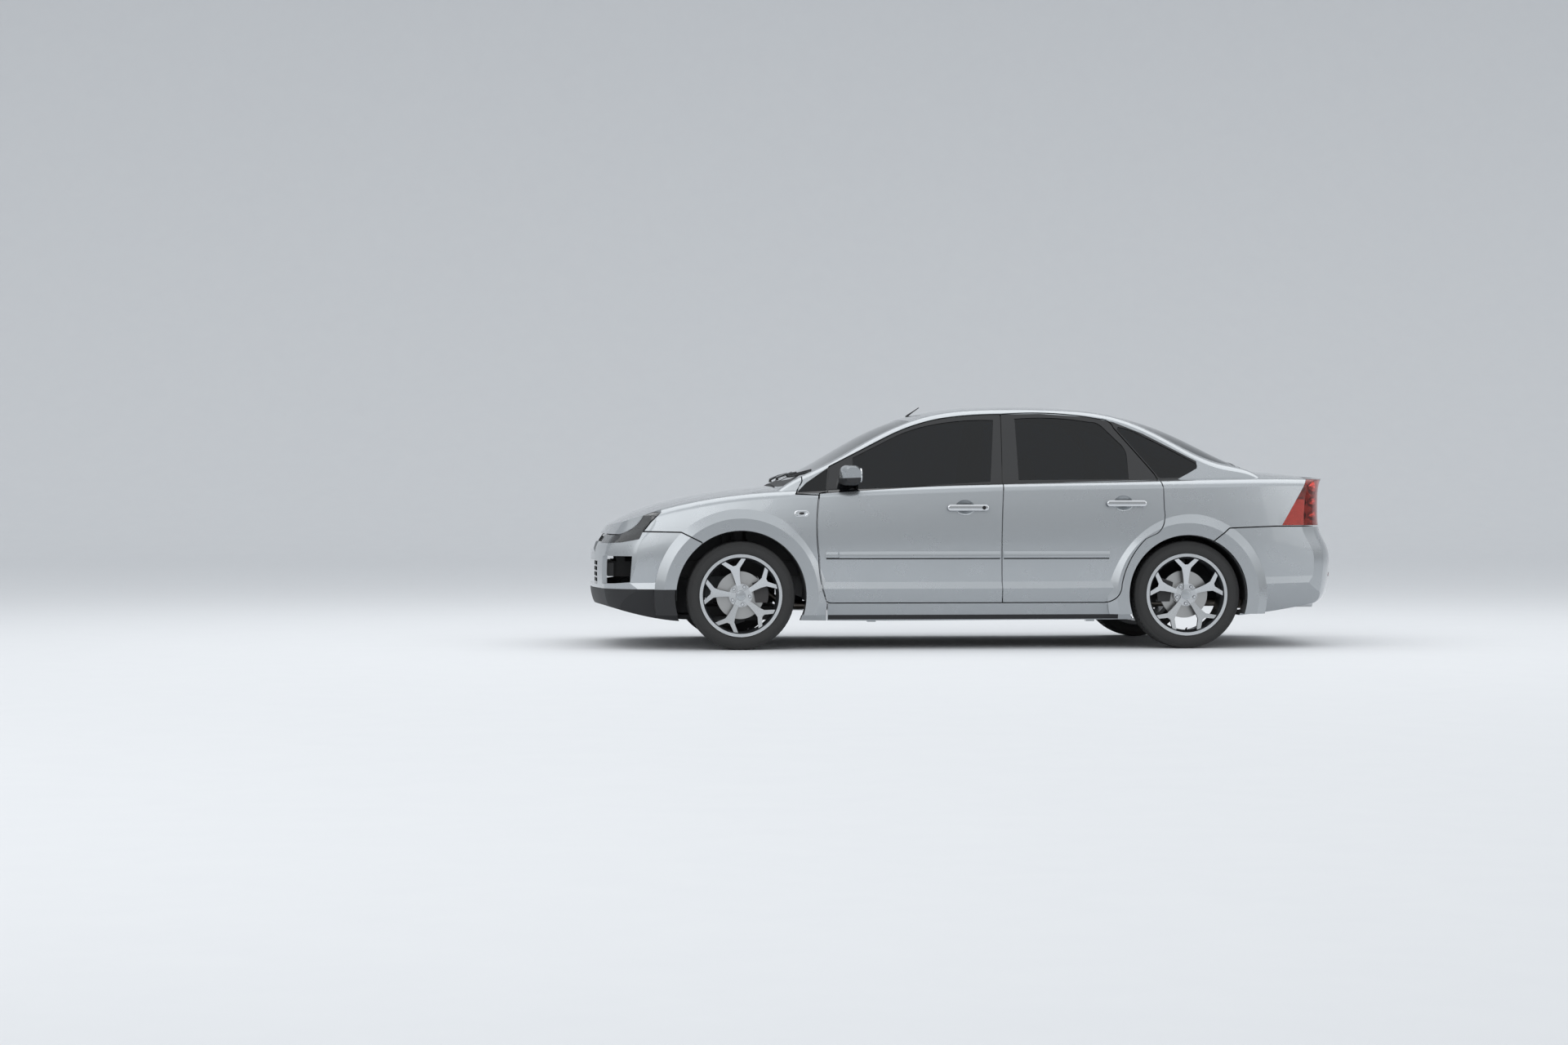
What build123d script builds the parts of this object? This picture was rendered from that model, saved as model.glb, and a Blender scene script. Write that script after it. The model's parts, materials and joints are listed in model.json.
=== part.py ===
"""Compact four-door saloon, built as separate pieces in one frame.

Millimetres. +Z is up, the nose points to -X, the driver's side is -Y.
The origin is on the ground, halfway along the car and on its centre line.
"""
from build123d import *
from math import cos, radians, sin
import os

os.makedirs("parts", exist_ok=True)

# Running gear
WHEELBASE = 2640
FRONT_AXLE_X = -1374
TRACK = 1535
TYRE_RADIUS = 318.5
TYRE_WIDTH = 225
RIM_FLANGE_RADIUS = 242
BEAD_RADIUS = 228
RIM_WIDTH = 204
WHEEL_OFFSET = 50
SPOKES = 5
DISC_RADIUS = 140
DISC_THICKNESS = 22
STUB_RADIUS = 28
KINGPIN_TOP_Y = 545
KINGPIN_TOP_Z = 850
KINGPIN_LOW_Y = 705
KINGPIN_LOW_Z = 190
STRUT_RADIUS = 24

# Body panels and gaps
SKIN = 28
FRAME_SKIN = 10
WALL = 120
PILLAR = 60
PANEL_GAP = 7
BEHIND_SKIN = 5
SEAT_GAP = 0.3
RUNNING_GAP = 0.5
DOOR_BOX_LAP = 50
DOOR_APERTURE_LAP = 35
FRAME_LAP = 14
FRAME_APERTURE_LAP = 5
FRAME_DEPTH = 30
GLASS_THICKNESS = 5
GLASS_INSET = 4
BELT_Z = 985
SILL_INNER_Y = 700
FLOOR_LAYER = 50
FRONT_ARCH_RADIUS = 381
REAR_ARCH_RADIUS = 353
ARCH_INNER_Y = 600
FLARE_WIDTH = 125
FLARE_LIP = 70
FLARE_Y = 916
FLARE_EDGE_Y = 880
SILL_Z = 205

REAR_AXLE_X = FRONT_AXLE_X + WHEELBASE
WHEEL_Y = TRACK / 2
WHEEL_Z = TYRE_RADIUS
HUB_FACE_Y = WHEEL_Y + WHEEL_OFFSET
FAR = 1200
TOP_Z = 1700

# Cross sections of the body below the windows, nose to tail.
# x, half width at the floor and its height, half width at the lower crease and its height,
# widest half width, shoulder half width and height, deck edge half width and height, deck middle height
LOWER_BODY = (
    (-2300, 560, 235, 655, 345, 650, 610, 520, 550, 560, 600),
    (-2050, 690, 224, 775, 350, 768, 738, 690, 680, 745, 776),
    (-1750, 760, 168, 848, 355, 846, 815, 800, 755, 845, 878),
    (-1374, 800, 170, 886, 358, 880, 850, 870, 790, 910, 940),
    (-900, 820, 170, 898, 358, 894, 870, 895, 820, 938, 985),
    (0, 830, 170, 904, 358, 900, 880, 925, 842, 968, 1000),
    (900, 825, 172, 900, 362, 896, 878, 942, 838, 986, 1020),
    (1500, 800, 185, 882, 375, 876, 860, 953, 805, 1000, 1062),
    (2000, 740, 250, 850, 388, 836, 815, 960, 750, 1003, 1036),
    (2300, 640, 310, 790, 398, 775, 745, 950, 680, 990, 1012),
)
CREASE_STEP_Y = 15
CREASE_STEP_Z = 40
WIDEST_Z = 650
SHOULDER_DROP = 25

# Cross sections of the cabin above the belt.
# x, half width and height where the side glass ends, half width and height at the roof edge, middle height
CABIN = (
    (-1150, 800, 915, 740, 935, 975),
    (-900, 765, 1045, 705, 1068, 1092),
    (-600, 705, 1206, 645, 1232, 1268),
    (-250, 650, 1348, 585, 1376, 1400),
    (150, 628, 1393, 560, 1418, 1444),
    (550, 628, 1391, 560, 1414, 1441),
    (900, 645, 1342, 575, 1368, 1405),
    (1200, 680, 1205, 610, 1238, 1330),
    (1500, 725, 1062, 655, 1096, 1192),
    (1800, 770, 930, 700, 955, 1040),
)
CABIN_FOOT_Z = 700
CABIN_FOOT_Y = 862

# Outline of the nose and tail in plan at several heights: height, nose x, tail x
ENDS = (
    (60, -2110, 1980),
    (230, -2196, 2080),
    (340, -2238, 2222),
    (460, -2243, 2239),
    (560, -2236, 2239),
    (640, -2207, 2207),
    (705, -2158, 2180),
    (800, -2110, 2171),
    (960, -2050, 2178),
    (1020, -2030, 2204),
    (1500, -1990, 2230),
)


def cross_plane(x):
    """Plane across the car, its x along +Y and its y along +Z."""
    return Plane(origin=(x, 0, 0), x_dir=(0, 1, 0), z_dir=(1, 0, 0))


def bulge_point(start, end, bulge):
    """Point beside the middle of a chord, bulge times its length to the right of it."""
    middle = ((start[0] + end[0]) / 2, (start[1] + end[1]) / 2)
    return (middle[0] + bulge * (end[1] - start[1]), middle[1] - bulge * (end[0] - start[0]))


def mirrored(point):
    """The same point on the other side of a section."""
    return (-point[0], point[1])


def lower_section(row, inset):
    """One cross section of the lower body, drawn inset from its skin."""
    x, floor_y, floor_z, crease_y, crease_z, widest_y, shoulder_y, shoulder_z, edge_y, edge_z, deck_z = row
    floor = (floor_y - inset, floor_z + min(inset, FLOOR_LAYER))
    crease = (crease_y - inset, crease_z)
    ledge = (crease_y - CREASE_STEP_Y - inset, crease_z + CREASE_STEP_Z)
    edge = (edge_y - 0.6 * inset, edge_z - inset)
    shoulder = (shoulder_y - inset, min(shoulder_z - 0.3 * inset, edge[1] - SHOULDER_DROP))
    widest = (widest_y - inset, min(WIDEST_Z, (ledge[1] + shoulder[1]) / 2))
    brow = bulge_point(shoulder, edge, 0.16)
    with BuildSketch(cross_plane(x)) as section:
        with BuildLine():
            Line(mirrored(floor), floor)
            Line(floor, crease)
            Line(crease, ledge)
            ThreePointArc(ledge, widest, shoulder)
            ThreePointArc(shoulder, brow, edge)
            ThreePointArc(edge, (0, deck_z - inset), mirrored(edge))
            ThreePointArc(mirrored(edge), mirrored(brow), mirrored(shoulder))
            ThreePointArc(mirrored(shoulder), mirrored(widest), mirrored(ledge))
            Line(mirrored(ledge), mirrored(crease))
            Line(mirrored(crease), mirrored(floor))
        make_face()
    return section.sketch


def cabin_section(row, inset):
    """One cross section of the cabin, drawn inset from its skin."""
    x, side_y, side_z, edge_y, edge_z, middle_z = row
    foot = (CABIN_FOOT_Y - 0.00002 * x * x - inset, CABIN_FOOT_Z)
    side = (side_y - inset, side_z - 0.3 * inset)
    edge = (edge_y - 0.6 * inset, edge_z - inset)
    glass = bulge_point(foot, side, 0.04)
    brow = bulge_point(side, edge, 0.12)
    with BuildSketch(cross_plane(x)) as section:
        with BuildLine():
            Line(mirrored(foot), foot)
            ThreePointArc(foot, glass, side)
            ThreePointArc(side, brow, edge)
            ThreePointArc(edge, (0, middle_z - inset), mirrored(edge))
            ThreePointArc(mirrored(edge), mirrored(brow), mirrored(side))
            ThreePointArc(mirrored(side), mirrored(glass), mirrored(foot))
        make_face()
    return section.sketch


def end_outline(row, inset):
    """Plan outline that rounds the nose and the tail at one height."""
    height, nose_x, tail_x = row
    nose = nose_x + inset
    tail = tail_x - inset
    side = 0.7 * inset
    front_edge = (nose + 74, 600)
    front_corner = (nose + 254, 790 - side)
    front_side = (nose + 560, 1000)
    rear_side = (tail - 430, 1000)
    rear_corner = (tail - 134, 780 - side)
    rear_edge = (tail - 54, 600)
    front_round = (nose + 150, 709)
    rear_round = (tail - 83, 695 - side / 2)
    with BuildSketch(Plane.XY.offset(height)) as outline:
        with BuildLine():
            ThreePointArc((front_edge[0], -front_edge[1]), (nose, 0), front_edge)
            ThreePointArc(front_edge, front_round, front_corner)
            Line(front_corner, front_side)
            Line(front_side, rear_side)
            Line(rear_side, rear_corner)
            ThreePointArc(rear_corner, rear_round, rear_edge)
            ThreePointArc(rear_edge, (tail, 0), (rear_edge[0], -rear_edge[1]))
            ThreePointArc(
                (rear_edge[0], -rear_edge[1]),
                (rear_round[0], -rear_round[1]),
                (rear_corner[0], -rear_corner[1]),
            )
            Line((rear_corner[0], -rear_corner[1]), (rear_side[0], -rear_side[1]))
            Line((rear_side[0], -rear_side[1]), (front_side[0], -front_side[1]))
            Line((front_side[0], -front_side[1]), (front_corner[0], -front_corner[1]))
            ThreePointArc(
                (front_corner[0], -front_corner[1]),
                (front_round[0], -front_round[1]),
                (front_edge[0], -front_edge[1]),
            )
        make_face()
    return outline.sketch


def lower_form(inset):
    """Solid of the lower body, its faces moved in from the skin."""
    with BuildPart() as form:
        for row in LOWER_BODY:
            add(lower_section(row, inset))
        loft()
    return form.part


def cabin_form(inset):
    """Solid of the cabin, its faces moved in from the skin."""
    with BuildPart() as form:
        for row in CABIN:
            add(cabin_section(row, inset))
        loft()
    return form.part


def end_form(inset):
    """Upright solid with the rounded nose and tail, moved in from the skin."""
    with BuildPart() as form:
        for row in ENDS:
            add(end_outline(row, inset))
        loft()
    return form.part


def body_form(lower_inset, cabin_inset, end_inset):
    """Solid of the whole body, its faces moved in from the skin by the insets."""
    with BuildPart() as form:
        add(lower_form(lower_inset))
        add(end_form(end_inset), mode=Mode.INTERSECT)
        add(cabin_form(cabin_inset))
    return form.part


def left_half(solid):
    """Left-hand half of a solid, a little past the centre line."""
    with BuildPart() as half:
        add(solid)
        add(block(-2400, 2400, -FAR, 0, 0, TOP_Z), mode=Mode.INTERSECT)
    return half.part


def side_face(steps, grow=0):
    """Face in the XZ plane from a start point and steps: a step of two numbers is a line's end,
    a step of four is an arc's middle and end. It may be grown or, below zero, shrunk all round."""
    with BuildSketch(Plane.XZ) as face:
        with BuildLine():
            here = steps[0]
            for step in steps[1:]:
                if len(step) == 2:
                    Line(here, step)
                else:
                    ThreePointArc(here, step[:2], step[2:])
                here = step[-2:]
        make_face()
        if grow != 0:
            offset(amount=grow, kind=Kind.ARC)
    return face.sketch


def side_prism(steps, grow=0, from_y=0):
    """Left-hand prism of an XZ outline, from from_y outwards to beyond the skin."""
    with BuildPart() as prism:
        add(side_face(steps, grow).moved(Location((0, -from_y, 0))))
        extrude(amount=FAR - from_y, dir=(0, -1, 0))
    return prism.part


def block(x0, x1, y0, y1, z0, z1):
    """Plain box between two corners."""
    with BuildPart() as box:
        with BuildSketch(Plane.XY.offset(z0)):
            with Locations(((x0 + x1) / 2, (y0 + y1) / 2)):
                Rectangle(x1 - x0, y1 - y0)
        extrude(amount=z1 - z0)
    return box.part


def wheel_centre(axle_x):
    """Centre of the left wheel on an axle."""
    return (axle_x, -WHEEL_Y, WHEEL_Z)


def outboard_plane(axle_x, y):
    """Plane facing outwards on the left side, its x along +X and its y along +Z."""
    return Plane(origin=(axle_x, -y, WHEEL_Z), x_dir=(1, 0, 0), z_dir=(0, -1, 0))


def radial_plane(axle_x):
    """Plane through a left wheel's axis: x is the distance outboard of its middle, y the radius."""
    return Plane(origin=wheel_centre(axle_x), x_dir=(0, -1, 0), z_dir=(-1, 0, 0))


def wheel_axis(axle_x):
    """Axis that a left wheel turns on."""
    return Axis(wheel_centre(axle_x), (0, -1, 0))


def finish(piece, name):
    """Label a piece and write it."""
    piece.part.label = name
    export_step(piece.part, f"parts/{name}.step")


def flare(axle_x, arch_radius):
    """Raised lip round a wheel arch, as a ring about the wheel's axis above the sill."""
    with BuildPart() as ring:
        with BuildSketch(cross_plane(axle_x)):
            with BuildLine():
                Polyline(
                    (-ARCH_INNER_Y, WHEEL_Z + arch_radius - 20),
                    (-FLARE_Y, WHEEL_Z + arch_radius - 20),
                    (-FLARE_Y, WHEEL_Z + arch_radius + FLARE_LIP),
                    (-FLARE_EDGE_Y, WHEEL_Z + arch_radius + FLARE_WIDTH),
                    (-ARCH_INNER_Y, WHEEL_Z + arch_radius + FLARE_WIDTH),
                    close=True,
                )
            make_face()
        revolve(axis=wheel_axis(axle_x))
        add(block(axle_x - FAR, axle_x + FAR, -FAR, 0, SILL_Z, FAR), mode=Mode.INTERSECT)
    return ring.part


def arch_hole(axle_x, arch_radius, inner_y):
    """Cylinder that opens a left wheel arch."""
    with BuildPart() as hole:
        with BuildSketch(outboard_plane(axle_x, inner_y)):
            Circle(arch_radius)
        extrude(amount=FAR - inner_y)
    return hole.part


def both_sides(part):
    """A left-hand solid together with its mirror image."""
    with BuildPart() as pair:
        add(part)
        mirror(part, about=Plane.XZ)
    return pair.part


FRONT_DOOR = (
    (-845, 277),
    (162, 277),
    (156, 640, 171, 985),
    (185, 1384),
    (0, 1377, -175, 1357),
    (-320, 1321, -470, 1262),
    (-845, 1072),
    (-862, 922),
    (-909, 914),
    (-922, 780, -912, 540),
    (-900, 400, -876, 310),
    (-866, 284, -845, 277),
)
REAR_DOOR = (
    (169, 277),
    (755, 277),
    (830, 300, 866, 380),
    (918, 530, 1010, 652),
    (1080, 684),
    (1117, 735, 1124, 822),
    (1122, 905),
    (1116, 970, 1088, 1030),
    (862, 1304),
    (835, 1342, 790, 1355),
    (500, 1390, 192, 1384),
    (178, 985),
    (163, 640, 169, 277),
)
FRONT_WINDOW = (
    (-707, 940),
    (105, 985),
    (142, 1352),
    (-80, 1345, -279, 1312),
    (-385, 1280, -480, 1238),
    (-707, 1126),
    (-707, 940),
)
REAR_WINDOW = (
    (275, 995),
    (935, 1000),
    (932, 1140),
    (917, 1185, 886, 1222),
    (800, 1310),
    (765, 1335, 720, 1342),
    (500, 1366, 271, 1360),
    (275, 995),
)
QUARTER_WINDOW = (
    (1128, 1008),
    (1240, 1010),
    (1290, 1030, 1340, 1058),
    (1358, 1080, 1342, 1102),
    (1200, 1178, 1039, 1258),
    (960, 1296, 893, 1312),
    (885, 1300, 890, 1288),
    (1105, 1028),
    (1115, 1012, 1128, 1008),
)
FRONT_QUARTER = (
    (-1040, 922),
    (-872, 930),
    (-857, 1060),
    (-985, 975),
    (-1040, 922),
)
BONNET_PLAN = (
    (-1117, -725),
    (-1250, -742, -1500, -745),
    (-1850, -735),
    (-1985, -715, -2080, -640),
    (-2165, -560, -2178, -430),
    (-2300, -420),
    (-2300, 420),
    (-2178, 430),
    (-2165, 560, -2080, 640),
    (-1985, 715, -1850, 735),
    (-1500, 745),
    (-1250, 742, -1117, 725),
    (-1180, 0, -1117, -725),
)
STRIP_EDGE = (
    (-1300, 760),
    (-1117, 728),
    (-600, 632, 100, 552),
    (500, 545, 900, 562),
    (1300, 612, 1675, 648),
    (2400, 648),
)
STRIP_RETURN = (
    (1675, 648),
    (1300, 612, 900, 562),
    (500, 545, 100, 552),
    (-600, 632, -1117, 728),
    (-1300, 760),
)
HEADLAMP = (
    (-2300, 622),
    (-2150, 622),
    (-2068, 628),
    (-1965, 648),
    (-1940, 699),
    (-1902, 748),
    (-1844, 803),
    (-1940, 800, -2068, 760),
    (-2300, 690),
    (-2300, 622),
)
TAIL_LAMP = (
    (1841, 727),
    (2300, 727),
    (2300, 1010),
    (2010, 1010),
    (1841, 727),
)
FUEL_FLAP = (
    (1500, 800),
    (1620, 800),
    (1640, 806, 1646, 826),
    (1646, 930),
    (1640, 948, 1620, 952),
    (1500, 952),
    (1480, 946, 1474, 930),
    (1474, 826),
    (1480, 806, 1500, 800),
)


def plan_prism(steps, grow=0, low_z=0):
    """Prism of a plan outline given as side_face's steps, from low_z to above the roof."""
    with BuildPart() as prism:
        with BuildSketch(Plane.XY.offset(low_z)):
            with BuildLine():
                here = steps[0]
                for step in steps[1:]:
                    if len(step) == 2:
                        Line(here, step)
                    else:
                        ThreePointArc(here, step[:2], step[2:])
                    here = step[-2:]
            make_face()
            if grow != 0:
                offset(amount=grow, kind=Kind.ARC)
        extrude(amount=TOP_Z - low_z)
    return prism.part


def other_side(step):
    """A plan step moved to the other side of the centre line."""
    return tuple(-value if index % 2 else value for index, value in enumerate(step))


def middle_strip(grow=0, low_z=500):
    """Prism over the middle of the roof, glass and deck, between the pillars."""
    steps = [other_side(step) for step in STRIP_EDGE]
    steps = steps + [STRIP_EDGE[-1]] + list(STRIP_RETURN) + [other_side(STRIP_EDGE[0])]
    return plan_prism(steps, grow, low_z)


def strip_prism(front_x, front_bow, rear_x, rear_bow, grow=0, low_z=500):
    """Part of the middle strip between two bowed cross lines."""
    with BuildPart() as strip:
        add(middle_strip(grow, low_z))
        with BuildSketch(Plane.XY.offset(low_z)):
            with BuildLine():
                ThreePointArc((front_x + front_bow, -900), (front_x, 0), (front_x + front_bow, 900))
                Line((front_x + front_bow, 900), (rear_x + rear_bow, 900))
                ThreePointArc((rear_x + rear_bow, 900), (rear_x, 0), (rear_x + rear_bow, -900))
                Line((rear_x + rear_bow, -900), (front_x + front_bow, -900))
            make_face()
        extrude(amount=TOP_Z - low_z, mode=Mode.INTERSECT)
    return strip.part


# Forms that all the panels are cut from
front_flare = flare(FRONT_AXLE_X, FRONT_ARCH_RADIUS)
rear_flare = flare(REAR_AXLE_X, REAR_ARCH_RADIUS)
front_arch = arch_hole(FRONT_AXLE_X, FRONT_ARCH_RADIUS, ARCH_INNER_Y)
rear_arch = arch_hole(REAR_AXLE_X, REAR_ARCH_RADIUS, ARCH_INNER_Y)

outer = body_form(0, 0, 0)
behind_skin = body_form(SKIN, FRAME_SKIN, SKIN)
behind_gap = body_form(SKIN + BEHIND_SKIN, FRAME_SKIN + BEHIND_SKIN, SKIN + BEHIND_SKIN)
behind_door = body_form(WALL - BEHIND_SKIN, FRAME_DEPTH, SKIN)
behind_wall = body_form(WALL, PILLAR, PILLAR)
glass_face = cabin_form(GLASS_INSET)
glass_back = cabin_form(GLASS_INSET + GLASS_THICKNESS)
with BuildPart() as outer_half:
    add(left_half(outer))
    add([front_flare, rear_flare])
    add([front_arch, rear_arch], mode=Mode.SUBTRACT)
outer_left = outer_half.part
behind_skin_left = left_half(behind_skin)
behind_gap_left = left_half(behind_gap)
behind_door_left = left_half(behind_door)
behind_wall_left = left_half(behind_wall)


# Doors, hinged at their front edges, each with its glass
HANDLE_OUTER_Y = 918
HANDLE_THICKNESS = 13
HANDLE_HEIGHT = 34
HANDLE_POST = 26
HANDLE_FOOT_Y = 878
CUP_WIDTH = 118
CUP_HEIGHT = 92
CUP_FLOOR_Y = 874
FRONT_GRIP = (-164, 81, 832, -58)
REAR_GRIP = (780, 1018, 857, 883)
MIRROR_FOOT_X = -760


def handle_plane(y):
    """Plane on the left side facing outwards, its x along +X and its y the height."""
    return Plane(origin=(0, -y, 0), x_dir=(1, 0, 0), z_dir=(0, -1, 0))


def make_door(outline, window, grip):
    """Left-hand door shell: outer skin, deep lower box, window frame and pull handle."""
    grip_front, grip_rear, grip_z, cup_x = grip
    grip_x = (grip_front + grip_rear) / 2
    grip_length = grip_rear - grip_front
    with BuildPart() as box:
        add(behind_skin_left)
        add(side_prism(outline, -DOOR_BOX_LAP), mode=Mode.INTERSECT)
        add(block(-FAR, FAR, -FAR, 0, 0, BELT_Z), mode=Mode.INTERSECT)
        add(behind_door_left, mode=Mode.SUBTRACT)
    with BuildPart() as frame:
        add(behind_skin_left)
        add(side_prism(outline, -FRAME_LAP), mode=Mode.INTERSECT)
        add(block(-FAR, FAR, -FAR, 0, BELT_Z, TOP_Z), mode=Mode.INTERSECT)
        add(behind_door_left, mode=Mode.SUBTRACT)
    with BuildPart() as door:
        add(outer_left)
        add(side_prism(outline), mode=Mode.INTERSECT)
        add(behind_skin_left, mode=Mode.SUBTRACT)
        add(box.part)
        add(frame.part)
        add(side_prism(window), mode=Mode.SUBTRACT)
        with BuildSketch(handle_plane(CUP_FLOOR_Y)):
            with Locations((cup_x, grip_z)):
                Ellipse(CUP_WIDTH / 2, CUP_HEIGHT / 2)
        extrude(amount=FAR - CUP_FLOOR_Y, mode=Mode.SUBTRACT)
        with BuildSketch(handle_plane(HANDLE_OUTER_Y)):
            with Locations((grip_x, grip_z)):
                SlotOverall(grip_length, HANDLE_HEIGHT)
        extrude(amount=-HANDLE_THICKNESS)
        with BuildSketch(handle_plane(HANDLE_OUTER_Y - HANDLE_THICKNESS)):
            with Locations((grip_front + HANDLE_POST, grip_z), (grip_rear - HANDLE_POST, grip_z)):
                Circle(HANDLE_HEIGHT / 2 - 5)
        extrude(amount=HANDLE_FOOT_Y - HANDLE_OUTER_Y + HANDLE_THICKNESS)
    return door.part


def make_door_glass(window):
    """Left-hand door glass, held in its frame all round."""
    with BuildPart() as glass:
        add(glass_face)
        add(side_prism(window, -SEAT_GAP), mode=Mode.INTERSECT)
        add(glass_back, mode=Mode.SUBTRACT)
    return glass.part


def write_pair(part, name):
    """Write a left-hand piece and its mirror image as two nodes."""
    with BuildPart() as left:
        add(part)
    finish(left, f"{name}_left")
    with BuildPart() as right:
        mirror(part, about=Plane.XZ)
    finish(right, f"{name}_right")


for place, outline, window, grip in (
    ("front", FRONT_DOOR, FRONT_WINDOW, FRONT_GRIP),
    ("rear", REAR_DOOR, REAR_WINDOW, REAR_GRIP),
):
    write_pair(make_door(outline, window, grip), f"door_{place}")
    write_pair(make_door_glass(window), f"door_glass_{place}")


# Door mirror, a rounded shell on a short foot at the front of the window
MIRROR_X = -735
MIRROR_Z = 1022
MIRROR_INNER_Y = 815
MIRROR_OUTER_Y = 1010
MIRROR_LENGTH = 110
MIRROR_HEIGHT = 118
MIRROR_FOOT_Y = 700

with BuildPart() as mirror_shell:
    with BuildSketch(handle_plane(MIRROR_INNER_Y)):
        with Locations((MIRROR_X, MIRROR_Z)):
            RectangleRounded(MIRROR_LENGTH, MIRROR_HEIGHT - 10, 34)
    with BuildSketch(handle_plane((MIRROR_INNER_Y + MIRROR_OUTER_Y) / 2)):
        with Locations((MIRROR_X, MIRROR_Z)):
            RectangleRounded(MIRROR_LENGTH + 12, MIRROR_HEIGHT, 38)
    with BuildSketch(handle_plane(MIRROR_OUTER_Y)):
        with Locations((MIRROR_X + 8, MIRROR_Z)):
            RectangleRounded(MIRROR_LENGTH - 24, MIRROR_HEIGHT - 26, 34)
    loft()
    with BuildSketch(handle_plane(MIRROR_FOOT_Y)):
        with Locations((MIRROR_FOOT_X, MIRROR_Z - 36)):
            RectangleRounded(60, 34, 12)
    extrude(amount=MIRROR_INNER_Y - MIRROR_FOOT_Y + 20)
    add(outer_left, mode=Mode.SUBTRACT)
mirror_left = mirror_shell.part.solids().sort_by(SortBy.VOLUME)[-1]
write_pair(mirror_left, "door_mirror")


# Side of the body: sill, pillars, roof rail and rear quarter, with the door openings cut through
REAR_BUMPER_TOP = (
    (1180, 640),
    (1411, 630),
    (1517, 711),
    (1806, 722),
    (2400, 722),
    (2400, 0),
    (1180, 0),
    (1180, 640),
)
FRONT_WING = (
    (-1605, 631),
    (-1722, 689),
    (-1941, 693),
    (-1936, 699),
    (-1898, 748),
    (-1840, 806),
    (-1840, 1100),
    (-1010, 1100),
    (-1010, 985),
    (-1052, 912),
    (-916, 907),
    (-929, 780, -919, 540),
    (-907, 400, -883, 310),
    (-872, 282, -868, 270),
    (-868, 150),
    (-1605, 150),
    (-1605, 631),
)
FLAP_POCKET_Y = 820
FLAP_HINGE_X = 1475
FLAP_HINGE_Y = 866
FLAP_PIN_RADIUS = 4
FLAP_PIN_FOOT_Z = 856
FLAP_PIN_LENGTH = 40
FLAP_BRACKET = 20
FLAP_PIN_SEAT = 1.5
FLAP_LOW_Z = 800
FLAP_HIGH_Z = 952
# Room ahead of the flap's hinge line for its edge to swing through
FLAP_SWING = 9
LAMP_INNER_Y = 560
# Rubber buffers that the closed doors rest on: x, outer face and height, front door's and rear door's
DOOR_BUFFERS = ((140, 871.6, 650), (1104, 857, 800))
BUFFER = 18
JACK_PADS_X = (-600, 700)
JACK_PAD_Y = 770
JACK_PAD = 50
JACK_PAD_Z = 160
JACK_PAD_TOP_Z = 190
strip_cut = middle_strip(PANEL_GAP / 2)
bonnet_cut = plan_prism(BONNET_PLAN, PANEL_GAP / 2, 500)


def door_rebate(outline):
    """Left-hand step round a door opening, which the door's outer skin closes against."""
    with BuildPart() as rebate:
        add(side_prism(outline, PANEL_GAP - RUNNING_GAP))
        add(behind_gap_left, mode=Mode.SUBTRACT)
    return rebate.part


def window_aperture(outline):
    """Left-hand opening for a door's window frame, above the belt."""
    with BuildPart() as aperture:
        add(side_prism(outline, -FRAME_APERTURE_LAP))
        add(block(-FAR, FAR, -FAR, 0, BELT_Z - BEHIND_SKIN, TOP_Z), mode=Mode.INTERSECT)
    return aperture.part


side_cuts = [behind_wall_left, block(-FAR, 2400, -SILL_INNER_Y, 0, 0, 800), strip_cut]
side_cuts += [side_prism(outline, PANEL_GAP / 2) for outline in (FRONT_WING, REAR_BUMPER_TOP)]
side_cuts += [side_prism(TAIL_LAMP, 0, LAMP_INNER_Y - PANEL_GAP)]
for outline in (FRONT_DOOR, REAR_DOOR):
    side_cuts += [door_rebate(outline), side_prism(outline, -DOOR_APERTURE_LAP), window_aperture(outline)]
side_cuts += [side_prism(outline) for outline in (QUARTER_WINDOW, FRONT_QUARTER)]
with BuildPart() as side_frame:
    add(outer_left)
    add(block(-1060, 2400, -FAR, -300, 0, TOP_Z), mode=Mode.INTERSECT)
    add(side_cuts, mode=Mode.SUBTRACT)
    for buffer_x, buffer_y, buffer_z in DOOR_BUFFERS:
        add(block(
            buffer_x - BUFFER / 2, buffer_x + BUFFER / 2,
            -buffer_y, -buffer_y + 20, buffer_z - BUFFER / 2, buffer_z + BUFFER / 2,
        ))
    for pad_x in JACK_PADS_X:
        add(block(
            pad_x - JACK_PAD / 2, pad_x + JACK_PAD / 2,
            -JACK_PAD_Y - JACK_PAD / 2, -JACK_PAD_Y + JACK_PAD / 2, JACK_PAD_Z, JACK_PAD_TOP_Z,
        ))
with BuildPart() as side_frame_left:
    add(side_frame.part)
finish(side_frame_left, "side_frame_left")
with BuildPart() as side_frame_right:
    mirror(side_frame.part, about=Plane.XZ)
    mirror(
        side_prism(FUEL_FLAP, PANEL_GAP - RUNNING_GAP, FLAP_POCKET_Y),
        about=Plane.XZ, mode=Mode.SUBTRACT,
    )
    swing_y = FLAP_HINGE_Y - FLAP_PIN_SEAT
    add(block(
        FLAP_HINGE_X - FLAP_SWING, FLAP_HINGE_X, swing_y, swing_y + 2 * FLAP_SWING,
        FLAP_LOW_Z, FLAP_HIGH_Z,
    ), mode=Mode.SUBTRACT)
    add(block(
        FLAP_HINGE_X - FLAP_BRACKET, FLAP_HINGE_X - FLAP_PIN_RADIUS - RUNNING_GAP,
        FLAP_HINGE_Y - 14, swing_y, FLAP_PIN_FOOT_Z, FLAP_PIN_FOOT_Z + FLAP_PIN_LENGTH,
    ))
finish(side_frame_right, "side_frame_right")


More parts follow.
